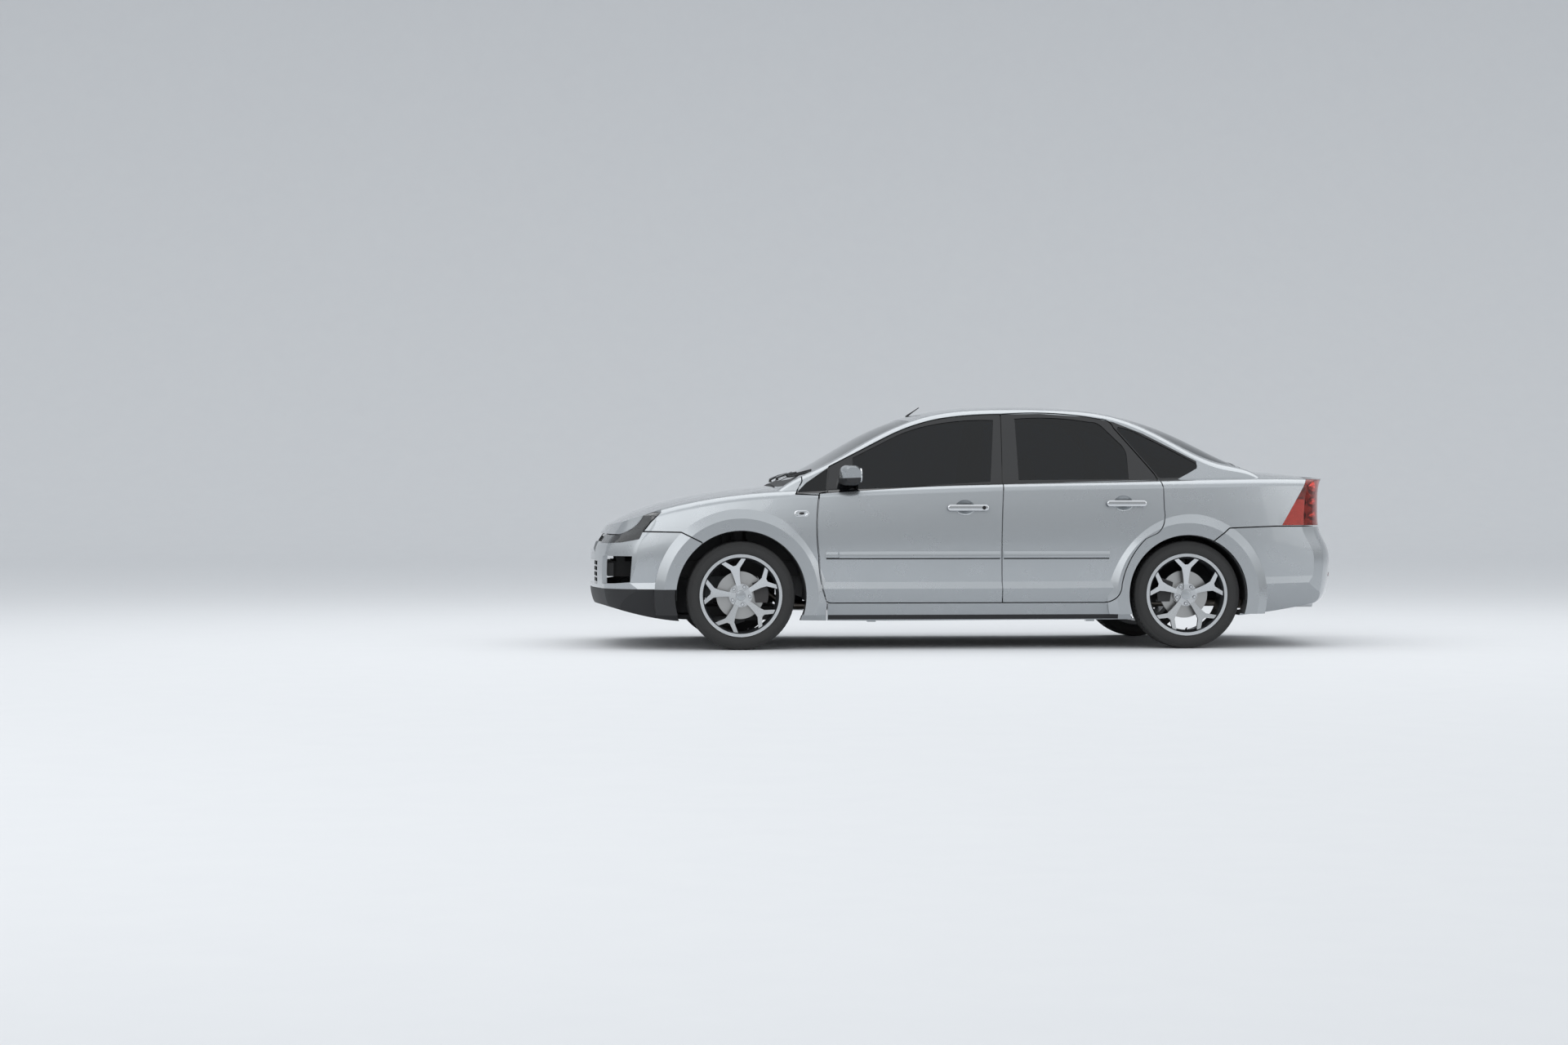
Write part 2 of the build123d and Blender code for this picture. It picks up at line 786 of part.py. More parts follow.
# Bonnet, wings, bumpers and grille
VALANCE_TOP_Z = 355
FOG_RECESS = (
    (-2300, 548),
    (-2007, 548),
    (-2018, 395),
    (-2149, 383),
    (-2300, 383),
    (-2300, 548),
)
BUMPER_FRONT = (
    (-2400, VALANCE_TOP_Z),
    (-1605.5, VALANCE_TOP_Z),
    (-1605.5, 627),
    (-1722, 685),
    (-1945, 689),
    (-1965, 648),
    (-2068, 628),
    (-2150, 622),
    (-2400, 622),
    (-2400, VALANCE_TOP_Z),
)
GRILLE_OPENING = (300, 575, 668)
INTAKE_OPENING = (430, 376, 520)
NOSE_BACK_X = -2060
GRILLE_BAR = 10
GRILLE_PITCH = 34
WING_INNER_Y = 760
STEERED_TYRE_REACH = 388
STEERED_TYRE_INNER_Y = 455

bonnet_edge = plan_prism(BONNET_PLAN, 0, 500)
with BuildPart() as bonnet:
    add(outer)
    add(bonnet_edge, mode=Mode.INTERSECT)
    add(block(-2400, -1000, -FAR, FAR, 676, TOP_Z), mode=Mode.INTERSECT)
    add(behind_skin, mode=Mode.SUBTRACT)
finish(bonnet, "bonnet")
with BuildPart() as bonnet_room:
    add(outer)
    add(bonnet_cut, mode=Mode.INTERSECT)
    add(block(-2400, -1000, -FAR, FAR, 669, TOP_Z), mode=Mode.INTERSECT)
    add(behind_gap, mode=Mode.SUBTRACT)

with BuildPart() as wing:
    add(outer_left)
    add(side_prism(FRONT_WING, -PANEL_GAP / 2, 400), mode=Mode.INTERSECT)
    add(behind_skin_left, mode=Mode.SUBTRACT)
    add(block(-2400, 0, -WING_INNER_Y, 0, 0, 400), mode=Mode.SUBTRACT)
    add(bonnet_cut, mode=Mode.SUBTRACT)
    add(strip_cut, mode=Mode.SUBTRACT)
with BuildPart() as front_wings:
    add(both_sides(wing.part))
finish(front_wings, "front_wings")

with BuildPart() as bumper_left:
    add(outer_left)
    add(side_prism(BUMPER_FRONT, -SEAT_GAP), mode=Mode.INTERSECT)
    add(behind_skin_left, mode=Mode.SUBTRACT)
    add(side_prism(FOG_RECESS, 0, 560), mode=Mode.SUBTRACT)
with BuildPart() as front_bumper:
    add(bumper_left.part)
    mirror(bumper_left.part, about=Plane.XZ)
    for half_width, low_z, high_z in (GRILLE_OPENING, INTAKE_OPENING):
        add(block(-2400, NOSE_BACK_X, -half_width, half_width, low_z, high_z), mode=Mode.SUBTRACT)
finish(front_bumper, "front_bumper")

with BuildPart() as valance_half:
    add(outer_left)
    add(block(-2400, -1560, -FAR, 0, 0, VALANCE_TOP_Z - SEAT_GAP), mode=Mode.INTERSECT)
    add(behind_skin_left, mode=Mode.SUBTRACT)
    add(arch_hole(FRONT_AXLE_X, STEERED_TYRE_REACH, STEERED_TYRE_INNER_Y), mode=Mode.SUBTRACT)
with BuildPart() as front_valance:
    add(both_sides(valance_half.part))
finish(front_valance, "front_valance")


# Roof and fixed glass
SCREEN_TOP_X = -372
SCREEN_BOW = 55
SCREEN_FOOT_X = -1095
SCREEN_FOOT_BOW = 120
BACKLIGHT_TOP_X = 900
BACKLIGHT_BOW = -30
BACKLIGHT_FOOT_X = 1640
BACKLIGHT_FOOT_BOW = -60
LID_FRONT_X = 1668
LID_FRONT_BOW = -60
GLASS_GAP = 0.5
STRIP_SEAT = PANEL_GAP / 2 - SEAT_GAP
with BuildPart() as roof_panel:
    add(outer)
    add(
        strip_prism(SCREEN_TOP_X, SCREEN_BOW, BACKLIGHT_TOP_X, BACKLIGHT_BOW, STRIP_SEAT, 1100),
        mode=Mode.INTERSECT,
    )
    add(behind_door, mode=Mode.SUBTRACT)
finish(roof_panel, "roof_panel")


def glass_pane(prism):
    """Curved pane cut from the cabin's surface by a prism."""
    with BuildPart() as pane:
        add(glass_face)
        add(prism, mode=Mode.INTERSECT)
        add(glass_back, mode=Mode.SUBTRACT)
    return pane.part


with BuildPart() as windscreen:
    add(glass_pane(strip_prism(
        SCREEN_FOOT_X, SCREEN_FOOT_BOW, SCREEN_TOP_X - GLASS_GAP, SCREEN_BOW, STRIP_SEAT, 900
    )))
finish(windscreen, "windscreen")
with BuildPart() as rear_window:
    add(glass_pane(strip_prism(
        BACKLIGHT_TOP_X + GLASS_GAP, BACKLIGHT_BOW, BACKLIGHT_FOOT_X, BACKLIGHT_FOOT_BOW, STRIP_SEAT, 1000
    )))
finish(rear_window, "rear_window")
with BuildPart() as quarter_windows:
    for outline in (QUARTER_WINDOW, FRONT_QUARTER):
        add(both_sides(glass_pane(side_prism(outline, -SEAT_GAP))))
finish(quarter_windows, "quarter_windows")

# Boot lid, tail lamps and rear bumper
TIP_Y = 480
TIP_Z = 262
TIP_NOTCH = 42
LID_FOOT_Z = 728
with BuildPart() as lamp_block:
    add(side_prism(TAIL_LAMP, -SEAT_GAP, LAMP_INNER_Y))
with BuildPart() as lamp_hole:
    add(side_prism(TAIL_LAMP, PANEL_GAP / 2, LAMP_INNER_Y - PANEL_GAP))
with BuildPart() as boot_lid:
    add(outer)
    add(strip_prism(LID_FRONT_X, LID_FRONT_BOW, 2600, -40, -PANEL_GAP / 2, LID_FOOT_Z), mode=Mode.INTERSECT)
    add(behind_skin, mode=Mode.SUBTRACT)
    add(both_sides(lamp_hole.part), mode=Mode.SUBTRACT)
finish(boot_lid, "boot_lid")
with BuildPart() as tail_lamp:
    add(outer_left)
    add(lamp_block.part, mode=Mode.INTERSECT)
    add(behind_wall_left, mode=Mode.SUBTRACT)
with BuildPart() as tail_lamps:
    add(both_sides(tail_lamp.part))
finish(tail_lamps, "tail_lamps")
with BuildPart() as bumper_half:
    add(outer_left)
    add(side_prism(REAR_BUMPER_TOP, -PANEL_GAP / 2), mode=Mode.INTERSECT)
    add(behind_skin_left, mode=Mode.SUBTRACT)
    add(block(1000, 2070, -690, 0, 0, 400), mode=Mode.SUBTRACT)
with BuildPart() as rear_bumper:
    add(both_sides(bumper_half.part))
    add(
        block(1970, 2120, -TIP_Y - TIP_NOTCH, -TIP_Y + TIP_NOTCH, 0, TIP_Z + TIP_NOTCH),
        mode=Mode.SUBTRACT,
    )
finish(rear_bumper, "rear_bumper")

# Headlamps and grille
HEADLAMP_INNER_Y = 400
with BuildPart() as headlamp:
    add(outer_left)
    add(side_prism(HEADLAMP, -SEAT_GAP, HEADLAMP_INNER_Y), mode=Mode.INTERSECT)
    add(behind_wall_left, mode=Mode.SUBTRACT)
    add(bonnet_room.part, mode=Mode.SUBTRACT)
with BuildPart() as headlamps:
    add(both_sides(headlamp.part))
finish(headlamps, "headlamps")
GRILLE_DEPTH = 18
with BuildPart() as front_grille:
    for half_width, low_z, high_z in (GRILLE_OPENING, INTAKE_OPENING):
        bars = int((high_z - low_z) / GRILLE_PITCH)
        for bar in range(bars + 1):
            bar_z = low_z + (high_z - low_z - GRILLE_BAR) * bar / bars
            add(block(-2400, NOSE_BACK_X, -half_width - 12, half_width + 12, bar_z, bar_z + GRILLE_BAR))
        posts = int(2 * half_width / 140)
        for post in range(posts + 1):
            post_y = -half_width - 12 + (2 * half_width + 24 - GRILLE_BAR) * post / posts
            add(block(-2400, NOSE_BACK_X, post_y, post_y + GRILLE_BAR, low_z, high_z))
    add(end_form(SKIN + SEAT_GAP), mode=Mode.INTERSECT)
    add(end_form(SKIN + GRILLE_DEPTH), mode=Mode.SUBTRACT)
finish(front_grille, "front_grille")


# Wheels, brakes and steering knuckles
TREAD_SHOULDER = 88
SIDEWALL_BULGE = 113
SPOKE_FACE = 92
DISH = 16
SPOKE_DEPTH = 24
HUB_DISC_RADIUS = 68
BOLT_CIRCLE = 54
BOLT_HOLE = 11
BOLT_HOLE_DEPTH = 6
RIM_LIP = 2.7
BARREL_THICKNESS = 7
# Half width and distance from the axle of one side of a spoke, out to its fork's tip and back to the notch
SPOKE_EDGE = (
    (15, 20), (13, 45), (15, 85), (20, 125), (28, 158), (80, 212), (58, 220), (9, 177),
)
HUB_BOSS_RADIUS = 34
HUB_DISC_FACE = 62
HAT_RADIUS = 72
DISC_MIDDLE = 4
CARRIER_DEPTH = 60
CALIPER_ANGLES = {"front": 10, "rear": 170}
RIM_TURNS = {"front": 12, "rear": 0}


def make_tyre(axle_x):
    """Left tyre on an axle, a ring with rounded walls."""
    half_bead = RIM_WIDTH / 2 - 3
    with BuildPart() as tyre:
        with BuildSketch(radial_plane(axle_x)):
            with BuildLine():
                Line((-half_bead, BEAD_RADIUS + SEAT_GAP), (half_bead, BEAD_RADIUS + SEAT_GAP))
                Line((half_bead, BEAD_RADIUS + SEAT_GAP), (half_bead, RIM_FLANGE_RADIUS))
                ThreePointArc(
                    (half_bead, RIM_FLANGE_RADIUS), (SIDEWALL_BULGE, 276), (half_bead, TYRE_RADIUS - 10)
                )
                Line((half_bead, TYRE_RADIUS - 10), (TREAD_SHOULDER, TYRE_RADIUS - 2))
                ThreePointArc(
                    (TREAD_SHOULDER, TYRE_RADIUS - 2), (0, TYRE_RADIUS), (-TREAD_SHOULDER, TYRE_RADIUS - 2)
                )
                Line((-TREAD_SHOULDER, TYRE_RADIUS - 2), (-half_bead, TYRE_RADIUS - 10))
                ThreePointArc(
                    (-half_bead, TYRE_RADIUS - 10), (-SIDEWALL_BULGE, 276), (-half_bead, RIM_FLANGE_RADIUS)
                )
                Line((-half_bead, RIM_FLANGE_RADIUS), (-half_bead, BEAD_RADIUS + SEAT_GAP))
            make_face()
        revolve(axis=wheel_axis(axle_x))
    return tyre.part


def make_rim(axle_x):
    """Left alloy rim: barrel, five forked spokes in a shallow dish and a hub boss."""
    half = RIM_WIDTH / 2
    barrel = BEAD_RADIUS - BARREL_THICKNESS
    with BuildPart() as dish:
        with BuildSketch(radial_plane(axle_x)):
            with BuildLine():
                Polyline(
                    (SPOKE_FACE - DISH, 0),
                    (SPOKE_FACE - DISH, 60),
                    (SPOKE_FACE, BEAD_RADIUS - 2),
                    (SPOKE_FACE - SPOKE_DEPTH, BEAD_RADIUS - 2),
                    (SPOKE_FACE - DISH - SPOKE_DEPTH, 70),
                    (WHEEL_OFFSET, 60),
                    (WHEEL_OFFSET, 0),
                    close=True,
                )
            make_face()
        revolve(axis=wheel_axis(axle_x))
    with BuildPart() as spokes:
        with BuildSketch(outboard_plane(axle_x, WHEEL_Y)):
            with PolarLocations(0, SPOKES, start_angle=0):
                with BuildLine(mode=Mode.PRIVATE) as edge:
                    Polyline(
                        *SPOKE_EDGE, *[(-half_width, out) for half_width, out in reversed(SPOKE_EDGE)],
                        close=True,
                    )
                add(make_face(edge.edges(), mode=Mode.PRIVATE))
            Circle(HUB_BOSS_RADIUS)
        extrude(amount=RIM_WIDTH)
        add(dish.part, mode=Mode.INTERSECT)
        with BuildSketch(outboard_plane(axle_x, WHEEL_Y + WHEEL_OFFSET)):
            Circle(HUB_DISC_RADIUS)
        extrude(amount=HUB_DISC_FACE - WHEEL_OFFSET)
        for hole in range(SPOKES):
            angle = radians(90 + (hole + 0.5) * 360 / SPOKES)
            with BuildSketch(outboard_plane(axle_x, WHEEL_Y + SPOKE_FACE)):
                with Locations((BOLT_CIRCLE * cos(angle), BOLT_CIRCLE * sin(angle))):
                    Circle(BOLT_HOLE)
            extrude(amount=-(SPOKE_FACE - HUB_DISC_FACE + BOLT_HOLE_DEPTH), mode=Mode.SUBTRACT)
        with BuildSketch(radial_plane(axle_x)):
            with BuildLine():
                Polyline(
                    (-half, RIM_FLANGE_RADIUS),
                    (-half, BEAD_RADIUS - 10),
                    (-half + 20, barrel - 4),
                    (half - 40, barrel - 12),
                    (half - 10, barrel - 4),
                    (half, BEAD_RADIUS - 4),
                    (half, RIM_FLANGE_RADIUS),
                    (half - RIM_LIP, RIM_FLANGE_RADIUS),
                    (half - RIM_LIP, BEAD_RADIUS),
                    (-half + RIM_LIP, BEAD_RADIUS),
                    (-half + RIM_LIP, RIM_FLANGE_RADIUS),
                    close=True,
                )
            make_face()
        revolve(axis=wheel_axis(axle_x))
    return spokes.part


def make_disc(axle_x):
    """Left brake disc with its hat, bored for the stub axle."""
    with BuildPart() as disc:
        with BuildSketch(radial_plane(axle_x)):
            with BuildLine():
                Polyline(
                    (DISC_MIDDLE - DISC_THICKNESS / 2, STUB_RADIUS + RUNNING_GAP),
                    (DISC_MIDDLE - DISC_THICKNESS / 2, DISC_RADIUS),
                    (DISC_MIDDLE + DISC_THICKNESS / 2, DISC_RADIUS),
                    (DISC_MIDDLE + DISC_THICKNESS / 2, HAT_RADIUS),
                    (WHEEL_OFFSET - SEAT_GAP, HAT_RADIUS),
                    (WHEEL_OFFSET - SEAT_GAP, STUB_RADIUS + RUNNING_GAP),
                    close=True,
                )
            make_face()
        revolve(axis=wheel_axis(axle_x))
    return disc.part


def make_hub_carrier(axle_x, caliper_angle):
    """Left stub axle with its carrier drum and the caliper that straddles the disc."""
    reach = DISC_RADIUS + 26
    disc_back = WHEEL_Y + DISC_MIDDLE - DISC_THICKNESS / 2
    with BuildPart() as caliper:
        with BuildSketch(outboard_plane(axle_x, WHEEL_Y - 42)):
            with BuildLine():
                Line((82, -58), (reach - 18, -70))
                ThreePointArc((reach - 18, -70), (reach, 0), (reach - 18, 70))
                Line((reach - 18, 70), (82, 58))
                Line((82, 58), (82, -58))
            make_face()
        extrude(amount=84)
        with BuildSketch(outboard_plane(axle_x, disc_back - 4)):
            Circle(DISC_RADIUS + 6)
        extrude(amount=DISC_THICKNESS + 8, mode=Mode.SUBTRACT)
        with BuildSketch(outboard_plane(axle_x, WHEEL_Y - 50)):
            with Locations((70, 0)):
                Rectangle(60, 60)
        extrude(amount=20)
    with BuildPart() as carrier:
        with BuildSketch(outboard_plane(axle_x, WHEEL_Y - CARRIER_DEPTH)):
            Circle(55)
        extrude(amount=disc_back - 6 - WHEEL_Y + CARRIER_DEPTH)
        with BuildSketch(outboard_plane(axle_x, WHEEL_Y - CARRIER_DEPTH)):
            Circle(STUB_RADIUS)
        extrude(amount=WHEEL_OFFSET - 8 + CARRIER_DEPTH)
        add(caliper.part.rotate(wheel_axis(axle_x), caliper_angle))
    return carrier.part


def kingpin_point(share):
    """Point on the left kingpin axis, from 0 at the foot to 1 at the top."""
    return (
        FRONT_AXLE_X,
        -(KINGPIN_LOW_Y + share * (KINGPIN_TOP_Y - KINGPIN_LOW_Y)),
        KINGPIN_LOW_Z + share * (KINGPIN_TOP_Z - KINGPIN_LOW_Z),
    )


kingpin_direction = Vector(*kingpin_point(1)) - Vector(*kingpin_point(0))
kingpin_length = kingpin_direction.length


def kingpin_plane(share):
    """Plane square to the left kingpin, at a share of its length from the foot."""
    return Plane(origin=kingpin_point(share), z_dir=kingpin_direction.normalized())


SPRING_RADIUS = 44
SPRING_SEAT_RADIUS = 52
TOWER_RADIUS = 60
TOWER_WALL = 8
STRUT_TOP = 0.97
SPRING_FOOT = 0.66
SPRING_TOP = 0.95
TOWER_TOP = 1.0

with BuildPart() as knuckle_front:
    add(make_hub_carrier(FRONT_AXLE_X, CALIPER_ANGLES["front"]))
    with BuildSketch(kingpin_plane(0)):
        Circle(STRUT_RADIUS)
    extrude(amount=kingpin_length * STRUT_TOP)
    with BuildSketch(kingpin_plane(SPRING_FOOT)):
        Circle(SPRING_SEAT_RADIUS)
    extrude(amount=14)
    with BuildSketch(kingpin_plane(SPRING_FOOT)):
        Circle(SPRING_RADIUS)
    extrude(amount=kingpin_length * (SPRING_TOP - SPRING_FOOT))
write_pair(knuckle_front.part, "knuckle_front")

for place, axle_x in (("front", FRONT_AXLE_X), ("rear", REAR_AXLE_X)):
    write_pair(make_tyre(axle_x), f"tyre_{place}")
    write_pair(make_rim(axle_x).rotate(wheel_axis(axle_x), RIM_TURNS[place]), f"rim_{place}")
    write_pair(make_disc(axle_x), f"brake_disc_{place}")

# Rear axle: twist beam, trailing arms, dampers and stub axles
ARM_Y = 560
ARM_Z = 262
SEAT_BASE_Z = 330
ARM_TOP_Z = SEAT_BASE_Z - SEAT_GAP
BEAM_Z = 280
DAMPER_LENGTH = 345
with BuildPart() as arm:
    add(make_hub_carrier(REAR_AXLE_X, CALIPER_ANGLES["rear"]))
    add(block(REAR_AXLE_X - 480, REAR_AXLE_X + 60, -ARM_Y - 35, -ARM_Y + 35, ARM_Z, ARM_TOP_Z))
    add(block(REAR_AXLE_X - 40, REAR_AXLE_X + 40, -WHEEL_Y + 50, -ARM_Y, 285, 350))
    with BuildSketch(Plane.XY.offset(300)):
        with Locations((REAR_AXLE_X + 40, -ARM_Y)):
            Circle(28)
    extrude(amount=DAMPER_LENGTH)
with BuildPart() as rear_axle:
    add(both_sides(arm.part))
    add(block(REAR_AXLE_X - 330, REAR_AXLE_X - 260, -ARM_Y, ARM_Y, BEAM_Z, ARM_TOP_Z))
finish(rear_axle, "rear_axle")

# Front subframe with the lower arms that carry the knuckles
with BuildPart() as subframe_half:
    add(block(-1560, -1120, -420, 0, 180, 240))
    add(block(-1480, -1260, -300, 0, 170, 250), mode=Mode.SUBTRACT)
    with BuildSketch(Plane.XY.offset(160)):
        with BuildLine():
            Polyline(
                (-1540, -400),
                (FRONT_AXLE_X - 34, -520),
                (FRONT_AXLE_X - 30, -KINGPIN_LOW_Y - 22),
                (FRONT_AXLE_X + 30, -KINGPIN_LOW_Y - 22),
                (FRONT_AXLE_X + 34, -520),
                (-1140, -400),
                close=True,
            )
        make_face()
    extrude(amount=KINGPIN_LOW_Z - 160 - RUNNING_GAP - 6)
with BuildPart() as front_subframe:
    add(both_sides(subframe_half.part))
finish(front_subframe, "front_subframe")

# Floor with tunnel, seat step, boot floor and spare wheel well
FLOOR_Y = SILL_INNER_Y - SEAT_GAP
FLOOR_Z = 200
FLOOR_PLATE = 18
BULKHEAD_X = -985
HEEL_X = 640
SEAT_TOP_Z = SEAT_BASE_Z + 18 + SEAT_GAP
BOOT_FLOOR_Z = 440
TUNNEL_HALF = 110
TUNNEL_Z = 320
FLOOR_LINE = (
    (BULKHEAD_X, 560),
    (-800, FLOOR_Z),
    (HEEL_X, FLOOR_Z),
    (HEEL_X + 50, SEAT_BASE_Z),
    (940, SEAT_BASE_Z),
    (1010, BOOT_FLOOR_Z),
)
BOOT_FLOOR_X = 1016 + SEAT_GAP
BOOT_FLOOR_END_X = 2102 - SEAT_GAP
REAR_PANEL_X = 2102
REAR_PANEL_Y = 500
REAR_PANEL_TOP_Z = 666
HOUSE_INNER_Y = 520
HOUSE_PLATE = 12
SPARE_WELL_X = 1720
SPARE_WELL_Z = 250
SPARE_WELL_RADIUS = 312


def rear_house(radius, inner_y, outer_y):
    """Left-hand cylinder about the rear wheel's axis, kept above the floor."""
    with BuildPart() as house:
        with BuildSketch(outboard_plane(REAR_AXLE_X, inner_y)):
            Circle(radius)
        extrude(amount=outer_y - inner_y)
        add(block(0, 2400, -FAR, 0, -FAR, SEAT_BASE_Z), mode=Mode.SUBTRACT)
    return house.part


house_room = both_sides(rear_house(
    REAR_ARCH_RADIUS + HOUSE_PLATE + SEAT_GAP, HOUSE_INNER_Y - HOUSE_PLATE - SEAT_GAP, FLOOR_Y + PANEL_GAP
))
with BuildPart() as floor_pan:
    with BuildSketch(Plane.XZ.offset(-FLOOR_Y)):
        with BuildLine():
            Polyline(
                *FLOOR_LINE,
                *[(x + 6, z + FLOOR_PLATE) for x, z in reversed(FLOOR_LINE)],
                close=True,
            )
        make_face()
    extrude(amount=2 * FLOOR_Y)
    add(block(-820, HEEL_X + 20, -TUNNEL_HALF, TUNNEL_HALF, FLOOR_Z - 10, TUNNEL_Z))
    add(block(-840, HEEL_X + 30, -TUNNEL_HALF + 18, TUNNEL_HALF - 18, 0, TUNNEL_Z - 18), mode=Mode.SUBTRACT)
    add(house_room, mode=Mode.SUBTRACT)
finish(floor_pan, "floor_pan")
with BuildPart() as boot_floor:
    add(block(BOOT_FLOOR_X, BOOT_FLOOR_END_X, -FLOOR_Y, FLOOR_Y, BOOT_FLOOR_Z, BOOT_FLOOR_Z + FLOOR_PLATE))
    with BuildSketch(Plane.XY.offset(SPARE_WELL_Z)):
        with Locations((SPARE_WELL_X, 0)):
            Circle(SPARE_WELL_RADIUS + FLOOR_PLATE)
    extrude(amount=BOOT_FLOOR_Z - SPARE_WELL_Z + 10)
    with BuildSketch(Plane.XY.offset(SPARE_WELL_Z + FLOOR_PLATE)):
        with Locations((SPARE_WELL_X, 0)):
            Circle(SPARE_WELL_RADIUS)
    extrude(amount=400, mode=Mode.SUBTRACT)
    add(house_room, mode=Mode.SUBTRACT)
finish(boot_floor, "boot_floor")
with BuildPart() as wheel_houses:
    add(both_sides(rear_house(REAR_ARCH_RADIUS + HOUSE_PLATE, HOUSE_INNER_Y - HOUSE_PLATE, FLOOR_Y)))
    add(both_sides(arch_hole(REAR_AXLE_X, REAR_ARCH_RADIUS, HOUSE_INNER_Y)), mode=Mode.SUBTRACT)
finish(wheel_houses, "wheel_houses")
with BuildPart() as rear_panel:
    add(block(
        REAR_PANEL_X, REAR_PANEL_X + FLOOR_PLATE, -REAR_PANEL_Y, REAR_PANEL_Y, BOOT_FLOOR_Z, REAR_PANEL_TOP_Z
    ))
finish(rear_panel, "rear_panel")

# Bulkhead, front rails, strut towers and the bar that carries the lamps
RAIL_IN_Y = 370
RAIL_OUT_Y = 428
TOWER_FOOT = 0.76
SLAM_BAR_Y = 395
BUMPER_BEAM_Y = 530
BULKHEAD_Y = 665
SLAM_BAR_X = -2065
SLAM_BAR_TOP_Z = 655
BONNET_BUFFER_Y = 300
BONNET_BUFFER = 18
with BuildPart() as bonnet_buffer:
    add(block(
        SLAM_BAR_X - BONNET_BUFFER / 2, SLAM_BAR_X + BONNET_BUFFER / 2,
        -BONNET_BUFFER_Y - BONNET_BUFFER / 2, -BONNET_BUFFER_Y + BONNET_BUFFER / 2,
        SLAM_BAR_TOP_Z, FAR,
    ))
    add(behind_skin, mode=Mode.INTERSECT)
APRON_Y = 404
APRON_PLATE = 4
APRON_FRONT_X = -1790
APRON_TOP_Z = 790
with BuildPart() as chassis_half:
    add(block(-2110, BULKHEAD_X - SEAT_GAP, -RAIL_OUT_Y, -RAIL_IN_Y, 420, 510))
    add(block(FRONT_AXLE_X - 90, FRONT_AXLE_X + 90, -RAIL_OUT_Y - 34, -RAIL_OUT_Y, 440, 860))
    add(block(FRONT_AXLE_X - 60, FRONT_AXLE_X + 60, -RAIL_OUT_Y - 70, -RAIL_OUT_Y, 730, 860))
    with BuildSketch(kingpin_plane(TOWER_FOOT)):
        Circle(TOWER_RADIUS + TOWER_WALL)
    extrude(amount=kingpin_length * (TOWER_TOP - TOWER_FOOT) + TOWER_WALL)
    with BuildSketch(kingpin_plane(TOWER_FOOT - 0.2)):
        Circle(TOWER_RADIUS)
    extrude(amount=kingpin_length * (TOWER_TOP - TOWER_FOOT + 0.2), mode=Mode.SUBTRACT)
    add(block(
        APRON_FRONT_X, BULKHEAD_X - SEAT_GAP, -APRON_Y, -APRON_Y + APRON_PLATE, 500, APRON_TOP_Z
    ))
    add(block(SLAM_BAR_X - 25, SLAM_BAR_X + 25, -SLAM_BAR_Y, 0, 600, SLAM_BAR_TOP_Z))
    with Locations((0, 0, -RUNNING_GAP)):
        add(bonnet_buffer.part)
    add(block(-2090, -2040, -RAIL_OUT_Y, -RAIL_IN_Y, 500, 610))
with BuildPart() as front_chassis:
    add(both_sides(chassis_half.part))
    add(block(-2145, -2110, -BUMPER_BEAM_Y, BUMPER_BEAM_Y, 425, 505))
    add(block(BULKHEAD_X - 15, BULKHEAD_X, -BULKHEAD_Y, BULKHEAD_Y, 300, 900))
finish(front_chassis, "front_chassis")

DRIVE_SHAFT_RADIUS = 14
DRIVE_JOINT_RADIUS = 36
DRIVE_JOINT_LENGTH = 60
DRIVE_END_Y = 640


def drive_shaft():
    """Left drive shaft from the engine block, with the joint at its outer end."""
    with BuildPart() as shaft:
        with BuildSketch(outboard_plane(FRONT_AXLE_X, 300)):
            Circle(DRIVE_SHAFT_RADIUS)
        extrude(amount=DRIVE_END_Y - 300)
        with BuildSketch(outboard_plane(FRONT_AXLE_X, DRIVE_END_Y - DRIVE_JOINT_LENGTH)):
            Circle(DRIVE_JOINT_RADIUS)
        extrude(amount=DRIVE_JOINT_LENGTH)
    return shaft.part


with BuildPart() as engine_block:
    add(block(-1790, -1310, -310, 310, 290, 790))
    fillet(engine_block.edges().filter_by(Axis.Z), 40)
    add(block(-1640, -1540, -RAIL_IN_Y + SEAT_GAP, RAIL_IN_Y - SEAT_GAP, 440, 500))
    add(both_sides(drive_shaft()))
finish(engine_block, "engine_block")

# Underbody: exhaust, tank and arch liners
PIPE_RADIUS = 26
PIPE_Z = 232
REAR_PIPE_Y = 250
REAR_PIPE_Z = 250
MANIFOLD_Z = 430
CATALYST_X = -1060
MIDDLE_PIPE_END_X = 700
SILENCER_X = 1790
TIP_END_X = 2062


def run_along_x(x0, x1, y, z, radius):
    """Straight round bar along the car."""
    with BuildPart() as bar:
        with BuildSketch(cross_plane(x0)):
            with Locations((y, z)):
                Circle(radius)
        extrude(amount=x1 - x0)
    return bar.part


